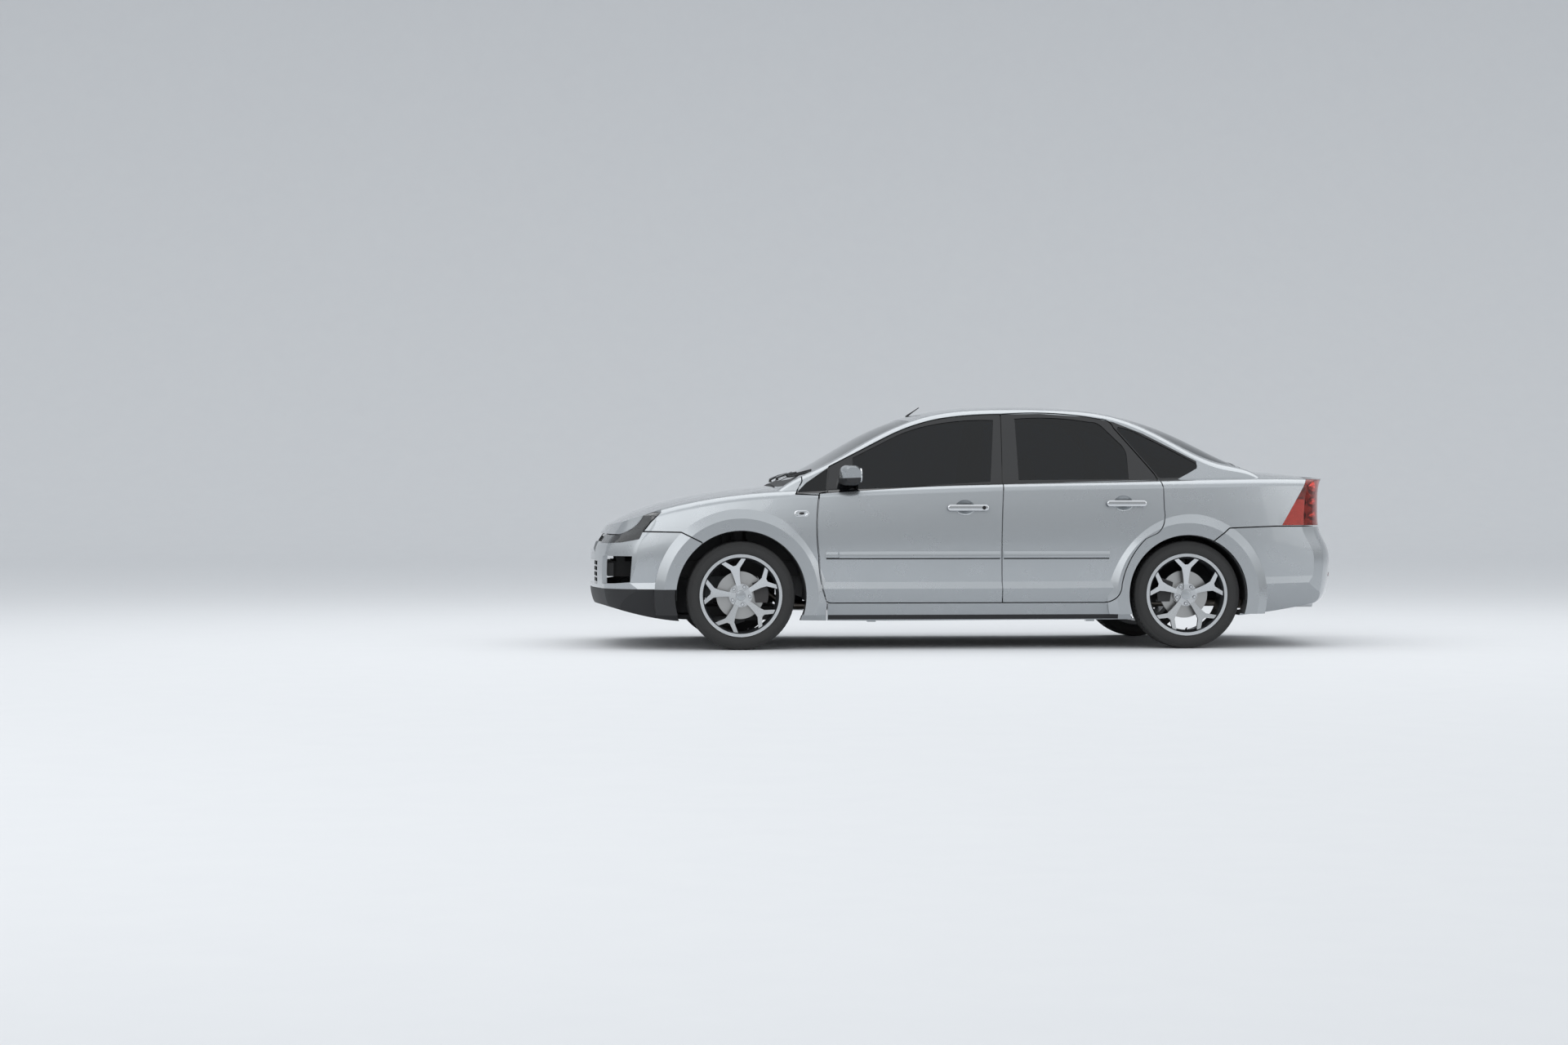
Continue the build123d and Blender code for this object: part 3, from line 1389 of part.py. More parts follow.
with BuildPart() as exhaust:
    with BuildSketch(cross_plane(-1310 + SEAT_GAP)):
        with Locations((0, MANIFOLD_Z)):
            Circle(PIPE_RADIUS)
    with BuildSketch(cross_plane(CATALYST_X)):
        with Locations((0, PIPE_Z)):
            Circle(PIPE_RADIUS)
    loft()
    add(run_along_x(CATALYST_X, MIDDLE_PIPE_END_X, 0, PIPE_Z, PIPE_RADIUS))
    with BuildSketch(Plane.XY.offset(190)):
        with Locations((-150, 0)):
            RectangleRounded(420, 130, 60)
    extrude(amount=84)
    with BuildSketch(cross_plane(MIDDLE_PIPE_END_X)):
        with Locations((0, PIPE_Z)):
            Circle(PIPE_RADIUS)
    with BuildSketch(cross_plane(880)):
        with Locations((-REAR_PIPE_Y, REAR_PIPE_Z)):
            Circle(PIPE_RADIUS)
    loft()
    add(run_along_x(880, 1000, -REAR_PIPE_Y, REAR_PIPE_Z, PIPE_RADIUS))
    with BuildSketch(cross_plane(1000)):
        with Locations((-REAR_PIPE_Y, REAR_PIPE_Z)):
            Circle(PIPE_RADIUS)
    with BuildSketch(cross_plane(1400)):
        with Locations((-TIP_Y, TIP_Z)):
            Circle(PIPE_RADIUS)
    loft()
    add(run_along_x(1400, TIP_END_X, -TIP_Y, TIP_Z, PIPE_RADIUS))
    with BuildSketch(Plane.XY.offset(225)):
        with Locations((SILENCER_X, -TIP_Y)):
            RectangleRounded(300, 190, 70)
    extrude(amount=120)
finish(exhaust, "exhaust")

TANK_Z = 205
TANK_MIDDLE = (817.5, 265)
TANK_LENGTH = 215
TANK_WIDTH = 470
TANK_CORNER = 60
with BuildPart() as fuel_tank:
    with BuildSketch(Plane.XY.offset(TANK_Z)):
        with Locations(TANK_MIDDLE):
            RectangleRounded(TANK_LENGTH, TANK_WIDTH, TANK_CORNER)
    extrude(amount=SEAT_BASE_Z - TANK_Z - SEAT_GAP)
finish(fuel_tank, "fuel_tank")

LINER = 4
LINER_OUTER_Y = 876
with BuildPart() as liner_half:
    for axle_x, arch_radius, inner_y in (
        (FRONT_AXLE_X, FRONT_ARCH_RADIUS, 670),
        (REAR_AXLE_X, REAR_ARCH_RADIUS, 605),
    ):
        with BuildSketch(outboard_plane(axle_x, inner_y)):
            Circle(arch_radius - SEAT_GAP)
            Circle(arch_radius - SEAT_GAP - LINER, mode=Mode.SUBTRACT)
            with Locations((0, -arch_radius)):
                Rectangle(3 * arch_radius, 2 * arch_radius - 60, mode=Mode.SUBTRACT)
        extrude(amount=LINER_OUTER_Y - inner_y)
with BuildPart() as arch_liners:
    add(both_sides(liner_half.part))
finish(arch_liners, "arch_liners")

# Seats, dashboard and steering wheel
SEAT_Y = 370
SEAT_WIDTH = 480
HEADREST_WIDTH = 250
SEAT_RAIL = 190
with BuildPart() as seat:
    with BuildSketch(Plane.XZ.offset(SEAT_Y - SEAT_WIDTH / 2)):
        with BuildLine():
            Polyline(
                (-290, 300), (-300, 440), (-20, 455), (120, 470), (250, 930), (450, 930),
                (250, 300), (-290, 300),
            )
        make_face()
    extrude(amount=SEAT_WIDTH)
    with BuildSketch(Plane.XZ.offset(SEAT_Y - HEADREST_WIDTH / 2)):
        with BuildLine():
            Polyline((300, 900), (330, 1120), (420, 1120), (420, 900), (300, 900))
        make_face()
    extrude(amount=HEADREST_WIDTH)
    add(block(
        -200, 200, -SEAT_Y - SEAT_RAIL, -SEAT_Y + SEAT_RAIL, FLOOR_Z + FLOOR_PLATE + SEAT_GAP, 310
    ))
with BuildPart() as front_seats:
    add(both_sides(seat.part))
finish(front_seats, "front_seats")

REAR_SEAT_Y = 600
with BuildPart() as rear_seat:
    with BuildSketch(Plane.XZ.offset(-REAR_SEAT_Y)):
        with BuildLine():
            Polyline(
                (HEEL_X, SEAT_TOP_Z), (HEEL_X, 500), (900, 480), (1080, 960), (1210, 960),
                (1040, 470), (925, 470), (925, SEAT_TOP_Z), (HEEL_X, SEAT_TOP_Z),
            )
        make_face()
    extrude(amount=2 * REAR_SEAT_Y)
    add(both_sides(rear_house(
        REAR_ARCH_RADIUS + HOUSE_PLATE + SEAT_GAP, HOUSE_INNER_Y - HOUSE_PLATE - SEAT_GAP, FLOOR_Y
    )), mode=Mode.SUBTRACT)
finish(rear_seat, "rear_seat")

# Shelf behind the rear seat, with the strip of bodywork between the rear window and the boot lid
with BuildPart() as deck_strip:
    add(outer)
    add(strip_prism(
        BACKLIGHT_FOOT_X + SEAT_GAP, BACKLIGHT_FOOT_BOW,
        LID_FRONT_X - PANEL_GAP, LID_FRONT_BOW, STRIP_SEAT, 900,
    ), mode=Mode.INTERSECT)
    add(behind_skin, mode=Mode.SUBTRACT)
with BuildPart() as shelf_riser:
    add(block(1612, 1655, -560, 560, 975, 1200))
    add(behind_skin, mode=Mode.INTERSECT)
with BuildPart() as parcel_shelf:
    add(block(1240, 1655, -560, 560, 955, 975))
    add(shelf_riser.part)
    add(deck_strip.part)
finish(parcel_shelf, "parcel_shelf")

COLUMN_Y = -370
COLUMN_TILT = 24
WHEEL_HUB_X = -470
WHEEL_HUB_Z = 800
COLUMN_RADIUS = 32
COLUMN_LENGTH = 186
BOSS_BACK = 24
with BuildPart() as dashboard:
    with BuildSketch(Plane.XZ.offset(-FLOOR_Y)):
        with BuildLine():
            Polyline(
                (BULKHEAD_X + SEAT_GAP, 640), (BULKHEAD_X + SEAT_GAP, 880), (-900, 925), (-640, 905),
                (-590, 840), (-640, 620), (-760, 560), (BULKHEAD_X + SEAT_GAP, 640),
            )
        make_face()
    extrude(amount=2 * FLOOR_Y)
    add(block(-700, 220, -100, 100, TUNNEL_Z + SEAT_GAP, 440))
    add(block(-760, -600, -120, 120, 400, 640))
column_plane = Plane(
    origin=(WHEEL_HUB_X, COLUMN_Y, WHEEL_HUB_Z),
    x_dir=(0, 1, 0),
    z_dir=(cos(radians(COLUMN_TILT)), 0, sin(radians(COLUMN_TILT))),
)
with BuildPart() as column:
    with BuildSketch(column_plane.offset(-BOSS_BACK - RUNNING_GAP)):
        Circle(COLUMN_RADIUS)
    extrude(amount=-COLUMN_LENGTH)
with BuildPart() as dashboard_full:
    add(dashboard.part)
    add(column.part)
finish(dashboard_full, "dashboard")
GRIP_RADIUS = 182
GRIP_THICKNESS = 15
BOSS_RADIUS = 70
with BuildPart() as steering_wheel:
    with BuildSketch(Plane(origin=column_plane.origin, x_dir=column_plane.z_dir, z_dir=(0, -1, 0))):
        with Locations((0, GRIP_RADIUS)):
            Circle(GRIP_THICKNESS)
    revolve(axis=Axis(column_plane.origin, column_plane.z_dir))
    with BuildSketch(column_plane.offset(-BOSS_BACK)):
        Circle(BOSS_RADIUS)
        with PolarLocations(0, 3, start_angle=-90):
            with Locations((GRIP_RADIUS / 2 + 20, 0)):
                Rectangle(GRIP_RADIUS - 50, 34)
    extrude(amount=20)
finish(steering_wheel, "steering_wheel")

with BuildPart() as cowl_panel:
    add(outer)
    add(block(-1240, -1000, -FAR, FAR, 880, 1100), mode=Mode.INTERSECT)
    add(middle_strip(STRIP_SEAT), mode=Mode.INTERSECT)
    add(behind_skin, mode=Mode.SUBTRACT)
    add(bonnet_cut, mode=Mode.SUBTRACT)
    add(
        strip_prism(SCREEN_FOOT_X - 6, SCREEN_FOOT_BOW, SCREEN_TOP_X, SCREEN_BOW, PANEL_GAP, 850),
        mode=Mode.SUBTRACT,
    )
    add(block(-1240, -900, -FAR, FAR, 0, 885), mode=Mode.SUBTRACT)
finish(cowl_panel, "cowl_panel")

# Fuel filler flap in the right rear quarter
FLAP_THICKNESS = 8
with BuildPart() as flap_left:
    add(outer_left)
    add(side_prism(FUEL_FLAP), mode=Mode.INTERSECT)
    add(lower_form(FLAP_THICKNESS), mode=Mode.SUBTRACT)
with BuildPart() as fuel_flap:
    mirror(flap_left.part, about=Plane.XZ)
    with BuildSketch(Plane.XY.offset(FLAP_PIN_FOOT_Z)):
        with Locations((FLAP_HINGE_X, FLAP_HINGE_Y)):
            Circle(FLAP_PIN_RADIUS)
    extrude(amount=FLAP_PIN_LENGTH)
finish(fuel_flap, "fuel_flap")
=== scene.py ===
"""Studio scene of a compact silver four-door saloon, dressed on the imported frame.

Everything is in metres in the frame of the CAD: the nose points to -X, the
car's left side is -Y and the floor is at Z = 0.
"""
from __future__ import annotations

import json
import logging
import math
from dataclasses import dataclass
from enum import Enum
from typing import Sequence

import bmesh
import bpy
from mathutils import Matrix, Vector
from mathutils.bvhtree import BVHTree

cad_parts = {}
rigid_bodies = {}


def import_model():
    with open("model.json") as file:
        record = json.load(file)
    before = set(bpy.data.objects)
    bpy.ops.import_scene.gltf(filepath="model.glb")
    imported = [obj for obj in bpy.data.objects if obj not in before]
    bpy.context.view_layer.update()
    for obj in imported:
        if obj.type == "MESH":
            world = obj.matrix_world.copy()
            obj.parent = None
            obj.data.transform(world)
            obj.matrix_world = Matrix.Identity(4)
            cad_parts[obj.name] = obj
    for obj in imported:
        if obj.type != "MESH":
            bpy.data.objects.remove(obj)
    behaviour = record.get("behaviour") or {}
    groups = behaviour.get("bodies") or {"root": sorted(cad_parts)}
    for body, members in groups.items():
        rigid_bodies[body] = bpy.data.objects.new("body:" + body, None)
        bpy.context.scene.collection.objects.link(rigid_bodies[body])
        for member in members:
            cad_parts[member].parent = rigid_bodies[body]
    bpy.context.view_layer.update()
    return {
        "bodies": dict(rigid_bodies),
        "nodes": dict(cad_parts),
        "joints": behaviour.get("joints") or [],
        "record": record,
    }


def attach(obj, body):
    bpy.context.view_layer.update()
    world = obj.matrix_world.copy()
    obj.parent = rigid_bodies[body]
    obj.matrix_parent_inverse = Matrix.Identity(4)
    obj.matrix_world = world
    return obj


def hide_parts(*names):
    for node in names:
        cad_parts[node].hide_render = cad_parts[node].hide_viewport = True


LOG = logging.getLogger("saloon")
MM = 0.001
Point2 = tuple[float, float]
Point3 = tuple[float, float, float]
Faces = list[tuple[int, ...]]

# Rays that look for the car's skin start this far out from its middle, or above its floor.
RAY_FROM_SIDE = 1.3
RAY_FROM_END = 2.6
RAY_FROM_ABOVE = 2.0

# A float curve's height runs from 0 to 1, which stands for this many metres.
CURVE_HEIGHT = 2.0
# Blender's wave texture has a wave every 0.314 units at a scale of 1. Divided by this, a scale of
# one grain per unit gives waves two grains long: a crest of one grain and a trough of one.
WAVE_DIVIDER = 6.3
# Every finish is faintly clouded, in patches about 14 cm wide.
CLOUD_SCALE = 7.0
CLOUD_SHARE = 0.4
ROUGHNESS_SWING = 0.12
COAT_ROUGHNESS = 0.03
BUMP_STRENGTH = 0.6

SIDES = (("left", -1), ("right", 1))
AXLE_FRONT = -1.374
AXLE_REAR = 1.266
PLACES = (("front", AXLE_FRONT), ("rear", AXLE_REAR))


class Grain(Enum):
    """Fine structure of a surface."""

    SMOOTH = "polished or painted, with only a faint unevenness"
    FLAKE = "metal flakes under clear lacquer"
    MOULDED = "pebbled grain of moulded plastic"
    WOVEN = "crossed threads of seat cloth"
    TURNED = "rings left by a lathe round the wheel's axle"
    CAST = "sand-cast skin"


def linear(hex_colour: str) -> tuple[float, float, float, float]:
    """Turn an sRGB hex colour into linear RGBA.

    Args:
        hex_colour: Colour such as "#A4AAAE".

    Returns:
        The four linear values, with an alpha of 1.
    """
    values = [int(hex_colour[i : i + 2], 16) / 255 for i in (1, 3, 5)]
    red, green, blue = [
        v / 12.92 if v <= 0.04045 else ((v + 0.055) / 1.055) ** 2.4 for v in values
    ]
    return (red, green, blue, 1.0)


def add_node(
    tree: bpy.types.NodeTree,
    kind: str,
    settings: dict[str, object] | None = None,
    links: dict[str | int, bpy.types.NodeSocket] | None = None,
) -> bpy.types.Node:
    """Add one shader node with its settings and its incoming links.

    Args:
        tree: Node tree that gets the node.
        kind: Blender's name of the node type.
        settings: Values by the name of an input socket, by its index as digits, or by the
            name of an attribute.
        links: Output sockets by the name or index of the input they feed.

    Returns:
        The new node.
    """
    node = tree.nodes.new(kind)
    for name, value in (settings or {}).items():
        if name in node.inputs:
            node.inputs[name].default_value = value
        elif name.isdigit():
            node.inputs[int(name)].default_value = value
        else:
            setattr(node, name, value)
    for name, source in (links or {}).items():
        tree.links.new(source, node.inputs[name])
    return node


@dataclass(frozen=True)
class Zone:
    """Part of a surface between two curves over the car's length, seen from the side.

    Attributes:
        low: Points (x, z) of the lower curve, from nose to tail, in metres.
        high: Points (x, z) of the upper curve.
    """

    low: tuple[Point2, ...]
    high: tuple[Point2, ...]

    def curve(
        self, tree: bpy.types.NodeTree, x: bpy.types.NodeSocket, points: Sequence[Point2]
    ) -> bpy.types.NodeSocket:
        """Socket with the height of a curve of straight runs at the surface's x.

        Args:
            tree: Node tree to build in.
            x: Socket with the place along the car.
            points: Points (x, z) of the curve.

        Returns:
            Socket with the height in metres.
        """
        first, last = points[0][0], points[-1][0]
        place = add_node(
            tree,
            "ShaderNodeMapRange",
            {"From Min": first, "From Max": last, "To Min": 0.0, "To Max": 1.0},
            {"Value": x},
        )
        height = add_node(tree, "ShaderNodeFloatCurve", {}, {"Value": place.outputs[0]})
        line = height.mapping.curves[0]
        for index, (px, pz) in enumerate(points):
            where = ((px - first) / (last - first), pz / CURVE_HEIGHT)
            if index in (0, len(points) - 1):
                line.points[0 if index == 0 else -1].location = where
            else:
                line.points.new(*where)
        for point in line.points:
            point.handle_type = "VECTOR"
        height.mapping.update()
        return add_node(
            tree, "ShaderNodeMath", {"operation": "MULTIPLY", "1": CURVE_HEIGHT},
            {0: height.outputs[0]},
        ).outputs[0]

    def mask(self, tree: bpy.types.NodeTree, place: bpy.types.NodeSocket) -> bpy.types.NodeSocket:
        """Socket that is 1 inside the zone and 0 outside it.

        Args:
            tree: Node tree to build in.
            place: Socket with the surface's place in the car's frame.

        Returns:
            The mask's socket.
        """
        axes = add_node(tree, "ShaderNodeSeparateXYZ", {}, {0: place})
        x, z = axes.outputs["X"], axes.outputs["Z"]
        above = add_node(
            tree, "ShaderNodeMath", {"operation": "GREATER_THAN"},
            {0: z, 1: self.curve(tree, x, self.low)},
        )
        below = add_node(
            tree, "ShaderNodeMath", {"operation": "LESS_THAN"},
            {0: z, 1: self.curve(tree, x, self.high)},
        )
        after = add_node(
            tree, "ShaderNodeMath", {"operation": "GREATER_THAN", "1": self.low[0][0]}, {0: x}
        )
        before = add_node(
            tree, "ShaderNodeMath", {"operation": "LESS_THAN", "1": self.low[-1][0]}, {0: x}
        )
        sides = add_node(
            tree, "ShaderNodeMath", {"operation": "MULTIPLY"},
            {0: after.outputs[0], 1: before.outputs[0]},
        )
        heights = add_node(
            tree, "ShaderNodeMath", {"operation": "MULTIPLY"},
            {0: above.outputs[0], 1: below.outputs[0]},
        )
        both = add_node(
            tree, "ShaderNodeMath", {"operation": "MULTIPLY"},
            {0: sides.outputs[0], 1: heights.outputs[0]},
        )
        return both.outputs[0]


@dataclass(frozen=True)
class Facing:
    """Part of a surface that faces a way, as a part's own inner or lower side.

    Attributes:
        axis: "Y" for outboard on either side of the car, "Z" for upwards.
        limit: Share of the normal along the axis above which the surface is in it.
        below: True for the rest of the surface instead.
    """

    axis: str
    limit: float
    below: bool = False

    def mask(self, tree: bpy.types.NodeTree, place: bpy.types.NodeSocket) -> bpy.types.NodeSocket:
        """Socket that is 1 where the surface faces that way and 0 elsewhere.

        Args:
            tree: Node tree to build in.
            place: Socket with the surface's place in the car's frame.

        Returns:
            The mask's socket.
        """
        normal = add_node(tree, "ShaderNodeTexCoord").outputs["Normal"]
        facing = add_node(tree, "ShaderNodeSeparateXYZ", {}, {0: normal}).outputs[self.axis]
        if self.axis == "Y":
            across = add_node(tree, "ShaderNodeSeparateXYZ", {}, {0: place}).outputs["Y"]
            side = add_node(tree, "ShaderNodeMath", {"operation": "SIGN"}, {0: across})
            facing = add_node(
                tree, "ShaderNodeMath", {"operation": "MULTIPLY"}, {0: facing, 1: side.outputs[0]}
            ).outputs[0]
        operation = "LESS_THAN" if self.below else "GREATER_THAN"
        return add_node(
            tree, "ShaderNodeMath", {"operation": operation, "1": self.limit}, {0: facing}
        ).outputs[0]


@dataclass(frozen=True)
class Finish:
    """One real surface finish and the numbers of its shader.

    Attributes:
        name: The material's name.
        colour: Main colour, sRGB hex.
        shade: Colour of its faint variation, sRGB hex.
        roughness: Mean roughness.
        metallic: 1 for bare metal.
        coat: Weight of a clear coat.
        transmission: 1 for glass and clear plastic.
        ior: Index of refraction, None for metals.
        sheen: Weight of the cloth's fuzz.
        grain: Fine structure.
        grain_mm: Size of that structure in millimetres.
        depth_mm: Depth of that structure in millimetres.
    """

    name: str
    colour: str
    shade: str
    roughness: float
    metallic: float = 0.0
    coat: float = 0.0
    transmission: float = 0.0
    ior: float | None = None
    sheen: float = 0.0
    grain: Grain = Grain.SMOOTH
    grain_mm: float = 2.0
    depth_mm: float = 0.02

    def pattern(
        self, tree: bpy.types.NodeTree, place: bpy.types.NodeSocket
    ) -> bpy.types.NodeSocket:
        """Height pattern of the grain, about 0 to 1.

        Args:
            tree: Node tree to build in.
            place: Socket with the surface's place.

        Returns:
            Socket with the pattern.
        """
        scale = 1.0 / (self.grain_mm * MM)
        if self.grain is Grain.WOVEN:
            rows = [
                add_node(
                    tree, "ShaderNodeTexWave",
                    {"Scale": scale / WAVE_DIVIDER, "bands_direction": way, "Distortion": 0.6,
                     "Detail": 1.0},
                    {"Vector": place},
                ).outputs["Fac"]
                for way in ("X", "DIAGONAL")
            ]
            return add_node(
                tree, "ShaderNodeMath", {"operation": "MULTIPLY"}, {0: rows[0], 1: rows[1]}
            ).outputs[0]
        if self.grain is Grain.TURNED:
            return add_node(
                tree, "ShaderNodeTexWave",
                {"Scale": scale / WAVE_DIVIDER, "wave_type": "RINGS", "rings_direction": "Y",
                 "Distortion": 0.4, "Detail": 2.0},
                {"Vector": place},
            ).outputs["Fac"]
        if self.grain is Grain.FLAKE:
            cells = add_node(
                tree, "ShaderNodeTexVoronoi", {"Scale": scale}, {"Vector": place}
            )
            return add_node(
                tree, "ShaderNodeRGBToBW", {}, {0: cells.outputs["Color"]}
            ).outputs[0]
        if self.grain is Grain.MOULDED:
            return add_node(
                tree, "ShaderNodeTexVoronoi",
                {"Scale": scale, "feature": "SMOOTH_F1", "Smoothness": 0.6},
                {"Vector": place},
            ).outputs["Distance"]
        detail = 6.0 if self.grain is Grain.CAST else 2.0
        return add_node(
            tree, "ShaderNodeTexNoise", {"Scale": scale, "Detail": detail}, {"Vector": place}
        ).outputs["Fac"]

    def sockets(
        self, tree: bpy.types.NodeTree, place: bpy.types.NodeSocket
    ) -> tuple[bpy.types.NodeSocket, bpy.types.NodeSocket, bpy.types.NodeSocket]:
        """Colour, roughness and height sockets of this finish.

        Args:
            tree: Node tree to build in.
            place: Socket with the surface's place.

        Returns:
            The three sockets.
        """
        height = self.pattern(tree, place)
        cloud = add_node(
            tree, "ShaderNodeTexNoise", {"Scale": CLOUD_SCALE, "Detail": 4.0}, {"Vector": place}
        ).outputs["Fac"]
        clouded = add_node(
            tree, "ShaderNodeMath", {"operation": "MULTIPLY", "1": CLOUD_SHARE}, {0: cloud}
        ).outputs[0]
        share = add_node(
            tree, "ShaderNodeMath", {"operation": "MULTIPLY_ADD", "1": 1 - CLOUD_SHARE},
            {0: height, 2: clouded},
        ).outputs[0]
        mixed = add_node(tree, "ShaderNodeMix", {"data_type": "RGBA"}, {0: share})
        mixed.inputs[6].default_value = linear(self.colour)
        mixed.inputs[7].default_value = linear(self.shade)
        least = self.roughness * (1 - ROUGHNESS_SWING)
        most = self.roughness * (1 + ROUGHNESS_SWING)
        rough = add_node(
            tree, "ShaderNodeMapRange", {"To Min": least, "To Max": min(1.0, most)},
            {"Value": cloud},
        )
        return mixed.outputs[2], rough.outputs[0], height

    def material(
        self, *layers: "tuple[Zone | Facing, Finish]"
    ) -> bpy.types.Material:
        """Build the material, once for each name.

        Args:
            layers: Parts of the surface that have another finish, each with that finish.

        Returns:
            The material.
        """
        name = "_with_".join([self.name] + [finish.name for _, finish in layers])
        found = bpy.data.materials.get(name)
        if found:
            return found
        material = bpy.data.materials.new(name)
        material.use_nodes = True
        tree = material.node_tree
        tree.nodes.clear()
        place = add_node(tree, "ShaderNodeTexCoord").outputs["Object"]
        colour, rough, height = self.sockets(tree, place)
        amounts: dict[str, bpy.types.NodeSocket | float] = {
            "Metallic": self.metallic, "Coat Weight": self.coat
        }
        for part, inside in layers:
            mask = part.mask(tree, place)
            other_colour, other_rough, _ = inside.sockets(tree, place)
            colours = add_node(
                tree, "ShaderNodeMix", {"data_type": "RGBA"}, {0: mask, 6: colour, 7: other_colour}
            )
            colour = colours.outputs[2]
            rough = add_node(
                tree, "ShaderNodeMix", {}, {0: mask, 2: rough, 3: other_rough}
            ).outputs[0]
            for key, value in (("Metallic", inside.metallic), ("Coat Weight", inside.coat)):
                mixed = add_node(tree, "ShaderNodeMix", {}, {0: mask})
                mixed.inputs[3].default_value = value
                if isinstance(amounts[key], float):
                    mixed.inputs[2].default_value = amounts[key]
                else:
                    tree.links.new(amounts[key], mixed.inputs[2])
                amounts[key] = mixed.outputs[0]
        bump = add_node(
            tree, "ShaderNodeBump",
            {"Strength": BUMP_STRENGTH, "Distance": self.depth_mm * MM},
            {"Height": height},
        )
        shader = add_node(
            tree, "ShaderNodeBsdfPrincipled",
            {
                "Metallic": self.metallic,
                "Coat Weight": self.coat,
                "Coat Roughness": COAT_ROUGHNESS,
                "Transmission Weight": self.transmission,
                "Sheen Weight": self.sheen,
            },
            {"Base Color": colour, "Roughness": rough, "Normal": bump.outputs[0]},
        )
        if self.ior is not None:
            shader.inputs["IOR"].default_value = self.ior
        for key, amount in amounts.items():
            if not isinstance(amount, float):
                tree.links.new(amount, shader.inputs[key])
        add_node(tree, "ShaderNodeOutputMaterial", {}, {"Surface": shader.outputs[0]})
        return material


# Silver body paint: aluminium flakes under a hard clear lacquer, cool grey with a sharp gloss.
# Real flakes are under 0.1 mm, so they are drawn at 0.9 mm to show as a faint sparkle.
SILVER = Finish(
    "silver_metallic_lacquer", "#B2B6B9", "#A3A8AC", 0.28, metallic=0.80, coat=1.0,
    grain=Grain.FLAKE, grain_mm=0.9, depth_mm=0.004,
)
# Gloss-black acrylic film and trim round the windows: near black with a mirror gloss.
GLOSS_BLACK = Finish(
    "gloss_black_acrylic", "#0B0C0E", "#101114", 0.10, coat=0.6, ior=1.49, depth_mm=0.004
)
# Moulded polypropylene of the valance and trims: dark grey with a pebbled grain. The real one is
# about 0.8 mm wide and is drawn at 1.6 mm to show.
# It also colours the thin black strips of painted shadow under the rub strips.
GRAINED_BLACK = Finish(
    "moulded_black_polypropylene", "#1B1C1E", "#232427", 0.58, ior=1.49,
    grain=Grain.MOULDED, grain_mm=1.6, depth_mm=0.12,
)
# Body-side glass, toughened and tinted: a blue-grey that is nearly black over a dark cabin.
TINTED_GLASS = Finish(
    "tinted_toughened_glass", "#1C303C", "#1A2D38", 0.0, transmission=1.0, ior=1.45,
    grain_mm=400.0, depth_mm=0.0,
)
# Clear polycarbonate of the lamp covers: colourless, very glossy.
CLEAR_LENS = Finish(
    "clear_polycarbonate", "#F4F6F7", "#F0F2F4", 0.0, transmission=1.0, ior=1.58,
    grain_mm=300.0, depth_mm=0.0,
)
# Red acrylic of the tail lamps. Light crosses its faces four times on its way in and out, so
# the tint of one face is pale and the lamp turns out a deep, clear red.
RED_LENS = Finish(
    "red_acrylic_lens", "#EE8C80", "#EA857A", 0.0, transmission=1.0, ior=1.42,
    grain_mm=60.0, depth_mm=0.01,
)
# Tyre rubber: black with a greyish bloom, dull, with a fine moulded skin.
RUBBER = Finish(
    "tyre_rubber", "#101113", "#18191B", 0.78, ior=1.45,
    grain=Grain.MOULDED, grain_mm=1.2, depth_mm=0.06,
)
# Diamond-turned wheel face under lacquer: bright aluminium with rings round the axle.
TURNED_ALLOY = Finish(
    "diamond_turned_aluminium", "#D3D6D8", "#C2C5C8", 0.26, metallic=1.0, coat=0.5,
    grain=Grain.TURNED, grain_mm=1.5, depth_mm=0.006,
)
# Painted inner surfaces of the wheel: dark grey lacquer over cast aluminium.
DARK_ALLOY = Finish(
    "dark_grey_wheel_lacquer", "#35373A", "#2C2E31", 0.38, metallic=0.5, coat=0.4,
    grain=Grain.CAST, grain_mm=3.0, depth_mm=0.02,
)
# Grey iron of brake discs, turned: light grey metal with fine rings.
DISC_IRON = Finish(
    "turned_grey_iron", "#B9BABA", "#A5A5A4", 0.32, metallic=1.0,
    grain=Grain.TURNED, grain_mm=1.2, depth_mm=0.01,
)
# Cast iron of calipers and carriers: dark grey sand-cast skin.
CAST_IRON = Finish(
    "cast_iron_skin", "#56575A", "#46413D", 0.62, metallic=0.8,
    grain=Grain.CAST, grain_mm=3.0, depth_mm=0.25,
)
# Cast aluminium of the engine block: dull mid grey, sandy.
CAST_ALUMINIUM = Finish(
    "sand_cast_aluminium", "#8E9194", "#7C7F82", 0.52, metallic=0.9,
    grain=Grain.CAST, grain_mm=3.0, depth_mm=0.3,
)
# Dip-coated steel of subframe and axle: satin black paint.
CHASSIS_STEEL = Finish(
    "black_dip_coated_steel", "#1D1E20", "#27282A", 0.45, ior=1.5,
    grain=Grain.CAST, grain_mm=8.0, depth_mm=0.1,
)
# Sprayed underbody sealer: dull dark grey with an orange-peel skin.
UNDERBODY = Finish(
    "sprayed_underbody_sealer", "#2A2C2E", "#36383A", 0.85, ior=1.5,
    grain=Grain.CAST, grain_mm=5.0, depth_mm=0.6,
)
# Stainless exhaust pipe, a little blued and dusty from heat.
EXHAUST_STEEL = Finish(
    "heat_tinted_stainless", "#97918A", "#7C746C", 0.36, metallic=1.0,
    grain=Grain.SMOOTH, grain_mm=20.0, depth_mm=0.02,
)
# Bright plating of grips, bolts, bowls and trims: pale, with a mirror gloss.
BRIGHT_METAL = Finish(
    "bright_plated_trim", "#DADCDE", "#CDD0D3", 0.10, metallic=1.0, grain_mm=30.0, depth_mm=0.002
)
# Vacuum-silvered mirror glass.
MIRROR_GLASS = Finish(
    "silvered_mirror", "#E4E7E9", "#DFE3E6", 0.02, metallic=1.0, grain_mm=100.0, depth_mm=0.0
)
